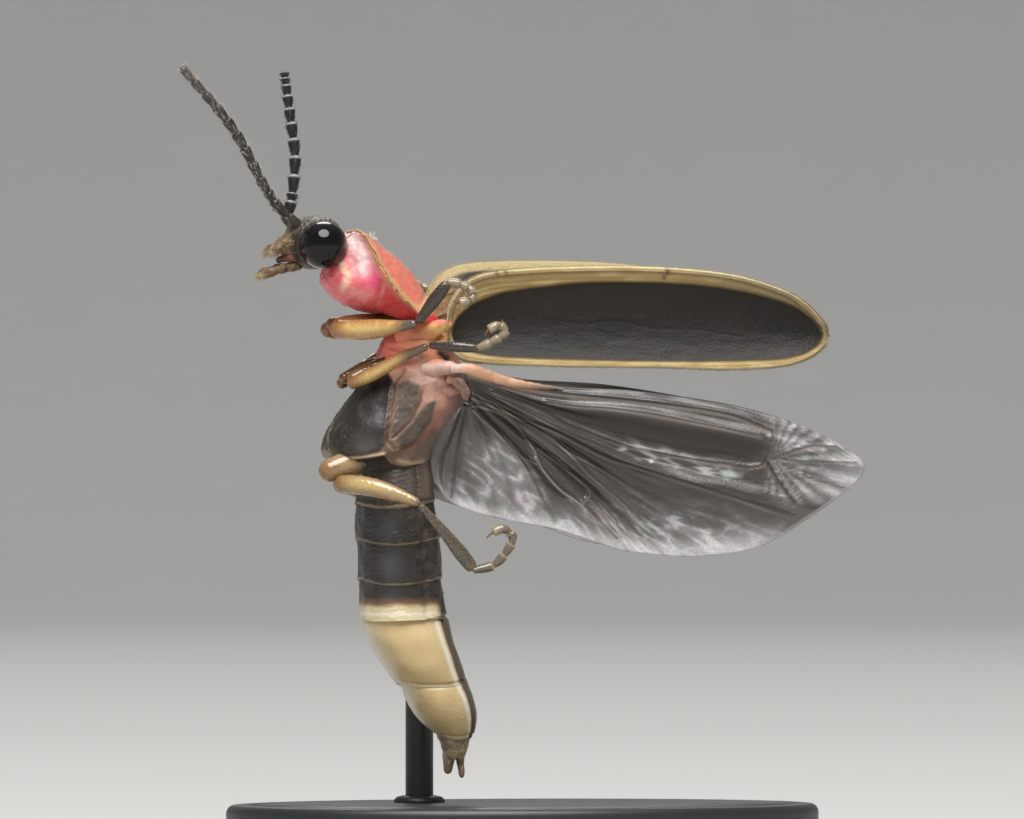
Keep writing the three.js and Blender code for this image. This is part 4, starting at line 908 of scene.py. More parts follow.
def coverShape():
    rows, columns = 260, 100
    t = np.linspace(0.004, 0.996, rows)
    s = 0.5 - 0.5 * np.cos(np.linspace(0.0, np.pi, columns))
    top, low = smooth(coverLook["top"], t), smooth(coverLook["low"], t)
    flat = top[:, None] + (low - top)[:, None] * s[None, :, None]
    u, v = flat[..., 0], flat[..., 1]
    outline = np.vstack([smooth(coverLook["top"], np.linspace(0, 1, 60)), smooth(coverLook["low"], np.linspace(1, 0, 60))])
    edge = lineDistance(u, v, outline)
    narrowing = np.minimum(1, (top[:, 1] - low[:, 1]) / 2)[:, None]
    bow = coverLook["bow"] * narrowing * (1 - (2 * s[None] - 1) ** 2)
    loop = coverLook["field"]
    field = signedDistance(u, v, smooth(loop + loop[:1], np.linspace(0, 1, 120))[:-1])
    middle = place(u, v, -depthAt(u, coverLook["rootDepth"], coverLook["tipDepth"]))
    middle[..., 1] += bow
    where = np.stack([u, v, 0 * u], -1)
    # underside: the rim stands up round the field and carries lengthwise lines, the field is wrinkled
    inField = step(-0.05, 0.05, field)
    rim = coverLook["rimRise"] * (1 - inField) * np.sqrt(np.clip(edge / 0.12, 0, 1))
    lines = 0.014 * np.cos(edge * 2 * np.pi / 0.13) * (1 - inField) * step(0.05, 0.15, edge)
    wrinkles = inField * (waves(where, 0.09, 61, 30) * 0.005 + waves(where * (0.6, 1.6, 1), 0.5, 62) * 0.005)
    wavy = -0.006 * bell(lineDistance(u, v, coverLook["wavyLine"]), 0.035)
    half = coverLook["thick"] / 2 * np.sqrt(np.clip(edge / 0.05, 0.03, 1))
    front = middle.copy()
    front[..., 1] -= half + (rim + lines + wrinkles + wavy) * step(0.0, 0.03, edge)
    # upper side: three faint ribs and a fine grain
    ribs = sum(0.035 * bell(s[None] - r, 0.022) for r in (0.27, 0.5, 0.74)) * step(0.02, 0.15, t)[:, None]
    back = middle.copy()
    back[..., 1] += half + (ribs * step(1.0, 0.8, t)[:, None] + waves(where, 0.1, 63, 20) * 0.008) * step(0.0, 0.06, edge)
    surface = closedSheet(front, back)
    tone = np.ones(front.shape) * (0.017, 0.013, 0.010)
    tone = towards(tone, step(-0.3, 1.0, waves(where * (0.5, 1, 1), 0.8, 64)) * 0.6, (0.010, 0.0105, 0.0105))
    tone = towards(tone, 0.7 * step(13.4, 14.2, v) * step(6.0, 2.5, u), (0.034, 0.021, 0.013))
    tone = towards(tone, 0.5 * step(0.0, 0.9, waves(where * (0.7, 1.3, 1), 0.07, 60, 24)), (0.031, 0.030, 0.029))
    tone = towards(tone, 0.5 * step(0.35, 0.05, field), (0.030, 0.022, 0.015))
    tone = towards(tone, 0.8 * bell(lineDistance(u, v, coverLook["wavyLine"]), 0.03), (0.006, 0.005, 0.005))
    gold = np.ones(front.shape) * (0.46, 0.32, 0.125)
    gold = towards(gold, step(-0.3, 0.8, waves(where * (0.3, 1.5, 1), 0.3, 65)), (0.58, 0.44, 0.20))
    gold = towards(gold, 0.75 * step(3.0, 6.8, u) * step(12.6, 13.2, v), (0.27, 0.215, 0.13))
    gold = towards(gold, 0.75 * bell(edge - 0.13, 0.028) * step(12.6, 13.2, v), (0.13, 0.095, 0.055))
    gold = towards(gold, 0.4 * bell(edge - 0.24, 0.02) * step(12.6, 13.2, v), (0.22, 0.16, 0.09))
    gold = towards(gold, step(0.07, 0.02, edge) * 0.8, (0.66, 0.58, 0.36))
    for bar in ([(-0.7, 14.75), (-0.66, 14.62)], [(-0.46, 14.77), (-0.43, 14.66)], [(3.6, 14.74), (3.52, 14.54)]):
        gold = towards(gold, 0.9 * bell(lineDistance(u, v, bar), 0.045), (0.05, 0.032, 0.02))
    tone = towards(tone, 1 - inField, (0, 0, 0)) + gold * (1 - inField)[..., None]
    upper = np.ones(front.shape) * (0.035, 0.027, 0.022)
    upper = towards(upper, step(-0.2, 0.8, waves(where, 0.7, 66)) * 0.5, (0.055, 0.042, 0.033))
    upper = towards(upper, 0.85 * step(-0.8, -1.5, u), (0.36, 0.23, 0.10))
    upper = towards(upper, step(0.26, 0.16, edge), (0.50, 0.40, 0.19))
    surface["tone"] = np.concatenate([tone, upper[:, ::-1]], 1).reshape(-1, 3)
    return surface, edge, inField


def farPlaced(points, look):
    # the far side: mirrored, turned about its root and lifted
    p = points * (1, -1, 1)
    root = place(*look["farRoot"])
    root[0] = place(look["farRoot"][0], 0.0, -look["farRoot"][2])[0]
    c, s = np.cos(look["farTilt"]), np.sin(look["farTilt"])
    x, z = p[..., 0] - root[0], p[..., 2] - root[2]
    return np.stack([root[0] + c * x + s * z, p[..., 1], root[2] - s * x + c * z + look["farLift"]], -1)


def makeCovers():
    surface, edge, inField = coverShape()
    grid, inner = surface["grid"], surface["inner"]
    onRim = lambda root, t, a, own: readGrid(inField[..., None], t, a, False)[:, 0] < 0.4
    coats = [
        bristles(grid, False, {"count": 15000, "seed": 67, "lie": (1.0, 0.0), "lift": 0.4, "stray": 0.25,
                               "length": 0.075, "width": 0.0035, "bend": 0.3, "inner": inner}, onRim),
        bristles(grid, False, {"count": 3500, "seed": 68, "lie": (0.9, -0.5), "lift": 0.3, "stray": 0.25,
                               "length": 0.08, "width": 0.0035, "bend": 0.3, "inner": inner, "around": (0.0, 0.03)}),
        bristles(grid, False, {"count": 3500, "seed": 70, "lie": (0.9, 0.5), "lift": 0.3, "stray": 0.25,
                               "length": 0.08, "width": 0.0035, "bend": 0.3, "inner": inner, "around": (0.97, 1.0)}),
    ]
    coat = joinedCoat(coats)
    down = bristles(inner, False, {"count": 21000, "seed": 69, "lie": (1.0, 0.0), "lift": 0.3, "stray": 0.16,
                                   "length": 0.085, "width": 0.0028, "bend": 0.4, "inner": grid})
    makePiece("coverLeft", surface, materials["cover"], ["elytron_left"])
    makePiece("coverHairLeft", coat, materials["bristle"])
    makePiece("coverDownLeft", down, materials["down"])
    far = facingOut(surface | {"points": farPlaced(surface["points"], coverLook)})
    farCoat = facingOut(coat | {"points": farPlaced(coat["points"], coverLook)})
    makePiece("coverRight", far, materials["cover"], ["elytron_right"])
    makePiece("coverHairRight", farCoat, materials["bristle"])
    farDown = facingOut(down | {"points": farPlaced(down["points"], coverLook)})
    makePiece("coverDownRight", farDown, materials["down"])


# Hind wings: a film over rays from the hinge to the margin, with veins, folds and fine creases
wingLook = {
    "rays": [
        [(-1.48, 12.3), (0.57, 11.86), (2.92, 11.72), (5.5, 11.32), (7.33, 10.7), (8.43, 10.05)],
        [(-1.42, 12.14), (0.57, 11.5), (2.92, 11.22), (5.92, 10.62), (8.5, 9.75)],
        [(-1.38, 12.0), (0.5, 11.22), (2.92, 10.32), (5.6, 9.82), (8.2, 9.35)],
        [(-1.34, 11.88), (0.92, 10.72), (2.92, 9.82), (5.0, 9.22), (7.1, 8.54)],
        [(-1.31, 11.78), (0.57, 10.68), (1.98, 9.8), (2.92, 9.22), (5.85, 7.83)],
        [(-1.3, 11.7), (0.4, 10.6), (1.67, 9.6), (2.92, 8.6), (4.3, 7.6)],
        [(-1.29, 11.62), (0.25, 10.4), (1.1, 9.72), (1.67, 9.2), (3.17, 7.67)],
        [(-1.29, 11.54), (0.1, 10.2), (0.92, 9.3), (1.5, 8.8), (2.3, 7.8)],
        [(-1.3, 11.46), (-0.2, 10.15), (0.3, 9.4), (0.85, 8.28)],
        [(-1.34, 11.4), (-0.95, 10.2), (-0.75, 9.4), (-0.6, 8.55)],
        [(-1.44, 11.34), (-1.62, 10.2), (-1.75, 9.5), (-1.72, 8.93)],
        [(-1.62, 11.28), (-2.12, 10.55), (-2.3, 9.97), (-2.2, 9.45)],
    ],
    "rootDepth": 1.6,
    "tipDepth": 2.6,
    "thick": 0.05,
    # veins: line, half width, height, how dark
    "veins": [
        ([(-1.5, 12.2), (0.3, 11.78), (2.92, 11.5), (5.0, 11.2), (6.2, 10.75)], 0.05, 0.05, 0.3),
        ([(-1.33, 11.63), (-0.13, 11.13), (0.92, 10.7), (1.98, 10.15), (2.92, 9.83), (6.75, 8.62)], 0.05, 0.055, 0.6),
        ([(-0.75, 11.73), (0.5, 11.23), (1.28, 10.85), (2.92, 10.28), (5.6, 9.83)], 0.035, 0.035, 0.5),
        ([(0.57, 11.48), (1.28, 11.38), (2.92, 11.22), (5.92, 10.63)], 0.04, 0.04, 0.5),
        ([(0.15, 10.95), (0.8, 10.52), (1.67, 9.65), (2.33, 9.1), (2.92, 8.53)], 0.035, 0.035, 0.3),
        ([(0.57, 10.75), (1.1, 10.27), (1.98, 9.8), (2.92, 9.22)], 0.03, 0.03, 0.3),
        ([(0.33, 10.15), (0.48, 9.8), (0.92, 9.3), (1.42, 8.95), (2.33, 8.08)], 0.035, 0.035, 0.3),
        ([(0.38, 10.33), (1.1, 9.8), (1.68, 9.28), (1.45, 8.95)], 0.03, 0.03, 0.3),
        ([(-1.18, 11.4), (-0.6, 11.22), (-0.05, 10.78), (0.3, 10.23), (0.33, 10.0)], 0.035, 0.04, 0.2),
        ([(-1.0, 11.05), (-0.48, 10.58), (-0.05, 10.15), (0.3, 9.95)], 0.03, 0.04, 0.2),
        ([(-1.38, 11.35), (-1.6, 10.2), (-1.78, 9.1)], 0.04, 0.045, 0.7),
        ([(-1.25, 11.28), (-0.13, 10.15), (0.8, 8.48)], 0.035, 0.04, 0.5),
        ([(6.23, 10.05), (7.1, 10.35), (7.8, 10.35)], 0.03, 0.03, 0.3),
        ([(6.23, 10.05), (7.2, 9.98), (8.3, 9.95)], 0.03, 0.03, 0.3),
        ([(6.23, 10.05), (7.0, 9.62), (8.0, 9.3)], 0.03, 0.03, 0.3),
        ([(6.05, 10.0), (6.35, 9.5), (6.75, 8.95)], 0.06, 0.06, 0.9),
        ([(6.3, 9.95), (6.6, 9.45), (6.95, 9.0)], 0.03, 0.04, 0.0),
        ([(5.6, 9.83), (6.05, 9.98), (6.2, 10.75)], 0.04, 0.03, 0.6),
    ],
    "strut": [(-1.8, 12.27), (-1.4, 12.28), (-0.95, 12.14), (-0.4, 11.97), (0.2, 11.86), (1.0, 11.78)],
    "strutRadii": [0.09, 0.15, 0.13, 0.1, 0.065, 0.02],
    "farRoot": (-1.5, 12.0, 1.6),
    "farLift": 0.22,
    "farTilt": 0.01,
}


def wingShape():
    raysIn, rows, columns = wingLook["rays"], 210, 180
    r = np.linspace(0, 1, rows) ** 0.92
    rays = np.stack([evenly(ray, r) for ray in raysIn])
    share = np.linspace(0, 1, columns)
    flat = smooth(rays.reshape(len(raysIn), -1), share).reshape(columns, rows, 2).transpose(1, 0, 2)
    u, v = flat[..., 0], flat[..., 1]
    middle = place(u, v, -depthAt(u, wingLook["rootDepth"], wingLook["tipDepth"]))
    where = np.stack([u, v, 0 * u], -1)
    turn = share[None] * (len(raysIn) - 1)
    # broad pleats between the rays, shallow near the hinge and the margin, and creases that follow the rays
    reach = np.sin(np.pi * np.clip(r, 0, 1))[:, None] ** 0.7
    rear = step(2.5, 5.5, turn) * np.ones_like(u)
    lobe = step(6.5, 9.0, turn) * np.ones_like(u)
    bend = 0.09 * reach * np.cos(turn * np.pi) + 0.045 * reach * np.cos(turn * 2.3 * np.pi + 1)
    # the film lies level where it leaves the strut
    bend = bend * (1 - step(0.45, 0.2, r)[:, None] * step(1.6, 0.5, turn))
    calm = 1 - step(0.45, 0.2, r)[:, None] * step(1.6, 0.5, turn)
    # places on the film: about a millimetre between rays, and millimetres along the ray, shortened 5 to 1
    long = np.linalg.norm(np.diff(flat, axis=0), axis=-1).sum(0)[None] * r[:, None]
    grain = np.stack([turn * 0.95 + 0 * u, long * 0.24, 0 * u], -1)
    crease = waves(grain, 0.3, 71, 20) * 0.012
    # sharp little folds: 1 - |waves|, large and small
    folds = 1 - np.abs(waves(grain * (1, 1.3, 1), 0.36, 72, 30)) - 0.4 * np.abs(waves(grain * (1, 2, 1), 0.24, 47, 30))
    # on the lobe they run aslant, down and to the right
    aslant = np.stack([u * 0.66 + v * 0.75, (u * 0.75 - v * 0.66) * 0.35, 0 * u], -1)
    slanting = 1 - np.abs(waves(aslant, 0.36, 47, 30)) - 0.4 * np.abs(waves(aslant, 0.24, 72, 30))
    onLobe = step(6.2, 7.2, turn) * step(10.4, 9.8, turn)
    folds = folds + (slanting - folds) * 0.85 * onLobe
    crinkle = folds * 0.024 * (0.15 + 0.85 * np.maximum(rear, lobe)) * step(0.1, 0.35, r)[:, None]
    height, dark, light = np.zeros_like(u), np.zeros_like(u), np.zeros_like(u)
    for line, wide, rise, shade in wingLook["veins"]:
        fine = smooth(line, np.linspace(0, 1, 4 * len(line)))
        near = lineDistance(u, v, fine)
        height = np.maximum(height, rise * bell(near, wide))
        dark = np.maximum(dark, (0.5 + 0.5 * shade) * bell(near, wide))
        # a painted highlight runs along one side of each vein
        light = np.maximum(light, (1 - 0.6 * shade) * bell(lineDistance(u, v + 1.5 * wide, fine), wide * 0.7))
    apex = step(5.9, 6.5, u) * step(8.8, 9.3, v)
    wrinkle = 0.012 * np.cos(2 * np.pi * (u * 0.88 - v * 0.48) / 0.2) * bell(np.hypot(u - 6.75, v - 9.6), 0.45)
    ridges = 0.008 * apex * np.cos(24 * np.arctan2(v - 10.05, u - 6.23)) * step(0.1, 0.5, u - 6.2)
    crinkle = crinkle * (1 - 0.7 * apex) + ridges
    middle[..., 1] += bend + (crease + crinkle) * calm + wrinkle
    half = wingLook["thick"] / 2 * (1 - 0.4 * r)[:, None] + height
    front, back = middle.copy(), middle.copy()
    front[..., 1] -= half
    back[..., 1] += half
    surface = closedSheet(front, back)
    tone = np.ones(front.shape) * (0.066, 0.056, 0.050)
    # painted light and dark streaks, for the shading of the pleats, run with the rays and get broken up towards the
    # margin
    streak = waves(grain * (1, 0.8, 1), 0.4, 78, 20)
    glint = waves(grain * (1, 2, 1), 0.3, 79, 24)
    tone = towards(tone, 0.6 * step(-0.2, 0.9, streak), (0.030, 0.025, 0.022))
    tone = towards(tone, 0.5 * step(0.2, 1.0, -streak), (0.15, 0.135, 0.125))
    cell = signedDistance(u, v, [(-0.6, 11.6), (0.57, 11.4), (2.92, 11.15), (5.8, 10.55), (6.15, 10.3), (5.6, 9.95), (2.92, 10.35),
                                 (1.0, 11.0), (0.2, 11.35)])
    tone = towards(tone, step(-0.1, 0.15, cell), (0.030, 0.021, 0.018))
    tone = towards(tone, 0.7 * bell(lineDistance(u, v, [(1.2, 11.5), (2.56, 11.24), (5.86, 10.68)]), 0.1), (0.17, 0.14, 0.125))
    oval = signedDistance(u, v, [(-1.18, 11.4), (-0.6, 11.22), (-0.05, 10.78), (0.3, 10.23), (0.33, 10.0), (-0.05, 10.15), (-0.48, 10.58), (-1.0, 11.05)])
    tone = towards(tone, step(-0.04, 0.08, oval), (0.050, 0.046, 0.042))
    # painted silver sheen: a reflection painted on the rear margin, the lobe, the apex fan and a band, brightened by
    # painted glints on the folds
    marginSheen = step(0.62, 0.97, r)[:, None] * step(3.0, 4.6, turn)
    lobeSheen = step(7.3, 8.2, turn) * step(9.9, 9.2, turn) * step(0.2, 0.6, r)[:, None]
    fan = np.cos(24 * np.arctan2(v - 10.05, u - 6.23) + 0.5 * glint)
    paintedSilverSheen = np.clip(np.maximum(np.maximum(0.9 * marginSheen, 0.8 * lobeSheen), apex * (0.5 + 0.25 * fan)), 0, 1)
    sheenBand = 0.75 * bell(lineDistance(u, v, [(2.6, 10.28), (4.0, 9.95), (5.3, 9.62)]), 0.17)
    paintedSilverSheen = np.maximum(paintedSilverSheen, sheenBand * step(0.1, 0.9, folds + 0.3 * glint))
    paintedFoldGlint = step(-0.5, 1.0, 0.9 * folds - 0.2 + 0.5 * streak)
    paintedFoldGlint = paintedFoldGlint + (0.55 + 0.25 * fan - paintedFoldGlint) * 0.7 * apex
    tone = towards(tone, paintedSilverSheen * (0.3 + 0.6 * paintedFoldGlint), (0.42, 0.40, 0.395))
    # painted highlights on the folds and along the margin
    tone = towards(tone, 0.65 * paintedSilverSheen * step(0.5, 1.0, folds + 0.25 * glint), (0.78, 0.76, 0.75))
    tone = towards(tone, 0.7 * paintedSilverSheen * step(0.86, 1.0, r)[:, None], (0.80, 0.77, 0.77))
    # painted pink and green iridescent reflection within the painted sheen
    tone = towards(tone, 0.5 * paintedSilverSheen * paintedFoldGlint * step(0.2, 0.9, waves(where, 0.5, 73)), (0.66, 0.47, 0.55))
    tone = towards(tone, 0.45 * paintedSilverSheen * paintedFoldGlint * step(0.2, 0.9, waves(where, 0.45, 74)), (0.42, 0.60, 0.52))
    anal = step(9.6, 10.3, turn) * np.ones_like(u)
    tone = towards(tone, anal * 0.6, (0.085, 0.08, 0.076))
    tone = towards(tone, 0.8 * light, (0.46, 0.39, 0.33))
    tone = towards(tone, dark, (0.016, 0.012, 0.010))
    # painted highlight: a small white spot on a fold
    tone = towards(tone, bell(np.hypot(u - 3.2, (v - 9.97) * 1.6), 0.05), (0.80, 0.76, 0.70))
    strut = lineDistance(u, v, wingLook["strut"])
    tone = towards(tone, 0.75 * bell(strut - 0.08, 0.11) * step(0.9, -0.3, u), (0.40, 0.23, 0.15))
    margin = step(0.985, 0.997, r)[:, None] * np.ones_like(u)
    tone = towards(tone, 0.6 * margin, (0.42, 0.39, 0.39))
    surface["tone"] = np.concatenate([tone, tone[:, ::-1]], 1).reshape(-1, 3)
    return surface


def makeWings():
    film = wingShape()
    p = np.array(wingLook["strut"])
    # the strut lies on the side of the film that shows, and the more so towards its thin end
    shift = np.linspace(0.02, 0.08, len(p))
    path = place(p[:, 0], p[:, 1], -depthAt(p[:, 0], wingLook["rootDepth"], wingLook["tipDepth"]) - shift)
    t = np.linspace(0, 1, 120)
    radii = np.interp(t, np.linspace(0, 1, len(p)), wingLook["strutRadii"])
    rod = tubeSurface(path, radii, 120, 28, 0.8, t)
    rod = pushOut(rod, waves(rod, 0.2, 75) * 0.006)
    strut = closedTube(rod)
    tone = np.ones_like(strut["points"]) * (0.74, 0.41, 0.24)
    tone = towards(tone, step(0.1, 0.8, waves(strut["points"], 0.3, 76)) * 0.6, (0.84, 0.60, 0.44))
    tone = towards(tone, step(0.2, 0.05, strut["t"]), (0.88, 0.62, 0.52))
    strut["tone"] = towards(tone, step(0.45, 0.95, strut["t"]), (0.22, 0.14, 0.105))
    for side in ("Left", "Right"):
        wing, bar = film, strut
        if side == "Right":
            wing = facingOut(film | {"points": farPlaced(film["points"], wingLook)})
            bar = facingOut(strut | {"points": farPlaced(strut["points"], wingLook), "grid": farPlaced(strut["grid"], wingLook)})
        makePiece(f"wing{side}", wing, materials["membrane"], [f"hindwing_{side.lower()}"])
        makePiece(f"wingStrut{side}", bar, materials["skin"])
        hair = bristles(bar["grid"], True, {"count": 900, "seed": 77, "lie": (1.0, 0.0), "lift": 0.3, "stray": 0.2,
                                            "length": 0.07, "width": 0.0032, "bend": 0.3})
        makePiece(f"wingHair{side}", hair, materials["bristle"])


# Legs: hip, thigh, shin, five foot joints and two claws, each leg one piece
legLook = {
    "fore": {
        "hip": [(-3.0, 13.45, -0.42), (-3.9, 13.43, -0.42), (-4.74, 13.36, -0.44)],
        "hipRadii": [0.2, 0.22, 0.18],
        "thigh": [(-4.8, 13.26, -0.5), (-4.15, 13.24, -0.95), (-3.4, 13.29, -1.65), (-2.64, 13.39, -2.15)],
        "thighRadii": [0.18, 0.225, 0.25, 0.25, 0.21, 0.145, 0.10],
        "shin": [(-2.62, 13.41, -2.17), (-2.22, 13.95, -2.3), (-1.86, 14.42, -2.38)],
        "shinRadii": [0.09, 0.13, 0.165, 0.16, 0.12],
        "foot": [(-1.87, 14.43, -2.38), (-1.55, 14.36, -2.4), (-1.27, 14.2, -2.42), (-1.3, 13.99, -2.42), (-1.58, 13.9, -2.4)],
    },
    "middle": {
        "hip": [(-3.1, 12.5, -0.4), (-3.75, 12.28, -0.5), (-4.36, 11.98, -0.55)],
        "hipRadii": [0.2, 0.19, 0.13],
        "thigh": [(-4.36, 11.86, -0.6), (-3.75, 12.14, -1.05), (-3.0, 12.56, -1.65), (-2.36, 12.84, -1.97)],
        "thighRadii": [0.13, 0.165, 0.175, 0.165, 0.145, 0.12, 0.09],
        "shin": [(-2.34, 12.86, -1.99), (-1.7, 12.82, -2.38), (-1.12, 12.78, -2.55)],
        "shinRadii": [0.08, 0.11, 0.13, 0.125, 0.1],
        "foot": [(-1.13, 12.78, -2.55), (-0.86, 12.9, -2.58), (-0.46, 13.16, -2.58), (-0.6, 13.36, -2.56), (-0.86, 13.24, -2.55)],
    },
    "hind": {
        "hip": [(-3.45, 10.3, -0.35), (-4.25, 9.95, -0.66), (-5.06, 9.64, -0.76)],
        "hipRadii": [0.27, 0.33, 0.33, 0.27],
        "thigh": [(-4.68, 9.44, -0.92), (-3.8, 9.34, -1.5), (-3.08, 9.13, -1.85), (-2.57, 8.92, -2.06)],
        "thighRadii": [0.19, 0.235, 0.24, 0.23, 0.2, 0.15, 0.1],
        "shin": [(-2.55, 8.9, -2.08), (-1.89, 8.13, -2.2), (-1.22, 7.28, -2.25)],
        "shinRadii": [0.075, 0.11, 0.145, 0.18, 0.16],
        "foot": [(-1.24, 7.26, -2.25), (-0.7, 7.42, -2.25), (-0.36, 7.8, -2.25), (-0.26, 8.1, -2.24), (-0.5, 8.3, -2.22), (-0.76, 8.2, -2.2)],
    },
    # the far hind leg is folded closer and hangs down beside the abdomen
    "hindRight": {
        "hip": [(-3.45, 10.3, 0.35), (-4.2, 9.92, 0.66), (-4.76, 9.6, 0.84)],
        "thigh": [(-4.66, 9.42, 0.93), (-4.3, 9.32, 1.5), (-3.85, 9.14, 1.85), (-3.5, 9.0, 2.05)],
        "shin": [(-3.48, 8.97, 2.08), (-3.22, 7.9, 2.2), (-3.0, 6.98, 2.25)],
        "foot": [(-3.0, 6.95, 2.25), (-2.7, 6.78, 2.25), (-2.42, 7.0, 2.25), (-2.36, 7.35, 2.24), (-2.5, 7.56, 2.22), (-2.72, 7.45, 2.2)],
    },
    "footJoints": [1.25, 0.9, 0.8, 0.75, 1.2],
    "golden": (0.50, 0.27, 0.075),
    "goldLight": (0.80, 0.56, 0.22),
    "tan": (0.38, 0.27, 0.13),
    "amberDark": (0.24, 0.095, 0.03),
    "knee": {"fore": (0.10, 0.075, 0.06), "middle": (0.12, 0.075, 0.045), "hind": (0.12, 0.095, 0.075)},
    "kneeStart": {"fore": 0.72, "middle": 0.62, "hind": 0.86},
}


def legTube(points, radii, rows, around, flat=1.0):
    p = np.array(points)
    return tubeSurface(place(p[:, 0], p[:, 1], p[:, 2]), np.array(radii), rows, around, flat, np.linspace(0, 1, len(radii)))


def ends(grid, first, last):
    # the first and last rings shrink on quarter circles over shares of the length, so a joint ends round
    rows = len(grid)
    t = np.linspace(0, 1, rows)[:, None, None]
    size = np.sqrt(1 - 0.98 * np.clip(1 - t / first, 0, 1) ** 2)
    size = size * np.sqrt(1 - 0.98 * np.clip((t - 1 + last) / last, 0, 1) ** 2)
    middle = grid.mean(1, keepdims=True)
    return middle + (grid - middle) * size


def flatten(points):
    return points.reshape(-1, 3)


def makeLeg(which, side, seed):
    own = which + side in legLook
    look = legLook[which] | legLook.get(which + side, {})
    turnOver = np.array([1, -1, 1]) if side == "Right" and not own else np.array([1, 1, 1])
    parts, grids = [], {}

    def addTube(key, points, radii, rows, around, tone, flat=1.0):
        length = np.linalg.norm(np.diff(place(*np.array(points).T), axis=0), axis=1).sum()
        grid = ends(legTube(points, radii, rows, around, flat), radii[0] / length, radii[-1] / length)
        grid = pushOut(grid, waves(grid, 0.09, seed) * 0.004)
        surface = closedTube(grid * turnOver)
        surface["tone"] = tone(surface)
        parts.append(surface)
        grids[key] = surface["grid"]

    def hipTone(s):
        base = np.ones_like(s["points"]) * (legLook["tan"] if which == "hind" else np.array(legLook["golden"]) * 0.6)
        base = towards(base, step(0.0, 0.9, waves(s["points"], 0.3, seed + 1)) * 0.7, legLook["amberDark"])
        base = towards(base, 0.9 * step(0.62, 0.36, s["t"]), (0.04, 0.024, 0.016))
        return towards(base, 0.7 * step(0.6, 1.0, s["t"]), legLook["amberDark"])

    def thighTone(s):
        base = np.ones_like(s["points"]) * (legLook["tan"] if which == "hind" else legLook["golden"])
        light = np.array(legLook["goldLight"]) * (0.8 if which == "hind" else 1)
        around = s["grid"].shape[1]
        a = np.concatenate([np.tile((np.arange(around) + 0.5) / around * 2 * np.pi, len(s["grid"])), [0, 0]])
        # painted highlight: a pale band along the middle of the thigh's front and back
        base = towards(base, 0.85 * bell(np.cos(a) + 0.1, 0.45) * bell(s["t"] - 0.42, 0.3), light)
        base = towards(base, step(0.3, 0.9, waves(s["points"], 0.3, seed + 2)) * 0.4, light)
        # painted shade: the thigh darker along its upper and lower edges
        base = towards(base, 0.45 * step(0.55, 1.0, np.abs(np.cos(a))), np.array(legLook["amberDark"]) * 1.4)
        base = towards(base, 0.85 * step(0.26, 0.03, s["t"]), legLook["amberDark"])
        kneeStart = legLook["kneeStart"][which]
        return towards(base, 0.92 * step(kneeStart, kneeStart + 0.2, s["t"]), legLook["knee"][which])

    def shinTone(s):
        shade = {"fore": (0.040, 0.026, 0.019), "middle": (0.050, 0.034, 0.025), "hind": (0.085, 0.068, 0.05)}[which]
        base = np.ones_like(s["points"]) * shade
        return towards(base, 0.7 * step(0.9, 1.0, s["t"]), (0.28, 0.20, 0.11))

    addTube("hip", look["hip"], look["hipRadii"], 60, 36, hipTone)
    addTube("thigh", look["thigh"], look["thighRadii"], 110, 40, thighTone, 0.85)
    addTube("shin", look["shin"], look["shinRadii"], 110, 36, shinTone, 0.8)

    foot = np.array(look["foot"])
    size = {"fore": 1.0, "middle": 0.92, "hind": 1.0}[which]
    t = np.linspace(0, 1, 160)
    factor, joint, f = jointed(t, legLook["footJoints"], 0.6, 0.12)
    radius = size * np.interp(t, [0, 0.75, 0.82, 1], [0.13, 0.115, 0.14, 0.12]) * factor
    grid = tubeSurface(place(foot[:, 0], foot[:, 1], foot[:, 2]), radius, 160, 28, 1.25, t)
    surface = closedTube(grid * turnOver)
    tone = np.ones_like(surface["points"]) * ((0.30, 0.24, 0.16) if which != "hind" else (0.15, 0.12, 0.085))
    tone = towards(tone, step(0.8, 0.95, surface["t"]) * 0.7, (0.42, 0.33, 0.22))
    edge = np.concatenate([np.repeat(step(0.8, 1.0, f), 28), [0, 1]])
    surface["tone"] = towards(tone, 0.6 * edge, (0.62, 0.50, 0.30))
    parts.append(surface)
    grids["foot"] = surface["grid"]

    makePiece(f"{which}Leg{side}", joined(parts), materials["amber"],
              [f"{which}leg_{side.lower()}_upper", f"{which}leg_{side.lower()}_lower"])
    makeClaws(which, side, grids["foot"], seed)
    coats = []
    for key, count, length, lift in (("thigh", 900, 0.05, 0.2), ("shin", 1500 if which == "hind" else 2200, 0.08, 0.25), ("hip", 400, 0.05, 0.25)):
        coats.append(bristles(grids[key], True, {"count": count, "seed": seed + len(coats), "lie": (1.0, 0.0), "lift": lift,
                                                 "stray": 0.15, "length": length, "width": 0.0028, "bend": 0.3}))
    fair = which == "hind"
    makePiece(f"{which}LegDown{side}", joinedCoat(coats), materials["bristle" if fair else "down"])
    spurs = {"count": 60, "seed": seed + 9, "lie": (1.0, 0.0), "lift": 0.9, "stray": 0.1, "length": 0.11, "width": 0.009,
             "bend": 0.3, "along": (0.15, 0.85)}
    bounds = np.cumsum(legLook["footJoints"]) / np.sum(legLook["footJoints"])
    atEnds = lambda root, t, a, own: np.min(np.abs(t[:, None] - bounds[None, :4] + 0.015), 1) < 0.012
    coats = [
        bristles(grids["foot"], True, {"count": 900, "seed": seed + 8, "lie": (1.0, 0.0), "lift": 0.4, "stray": 0.18,
                                       "length": 0.07, "width": 0.003, "bend": 0.3}),
        bristles(grids["foot"], True, spurs | {"count": 700}, atEnds),
    ]
    makePiece(f"{which}FootHair{side}", joinedCoat(coats), materials["bristle"])


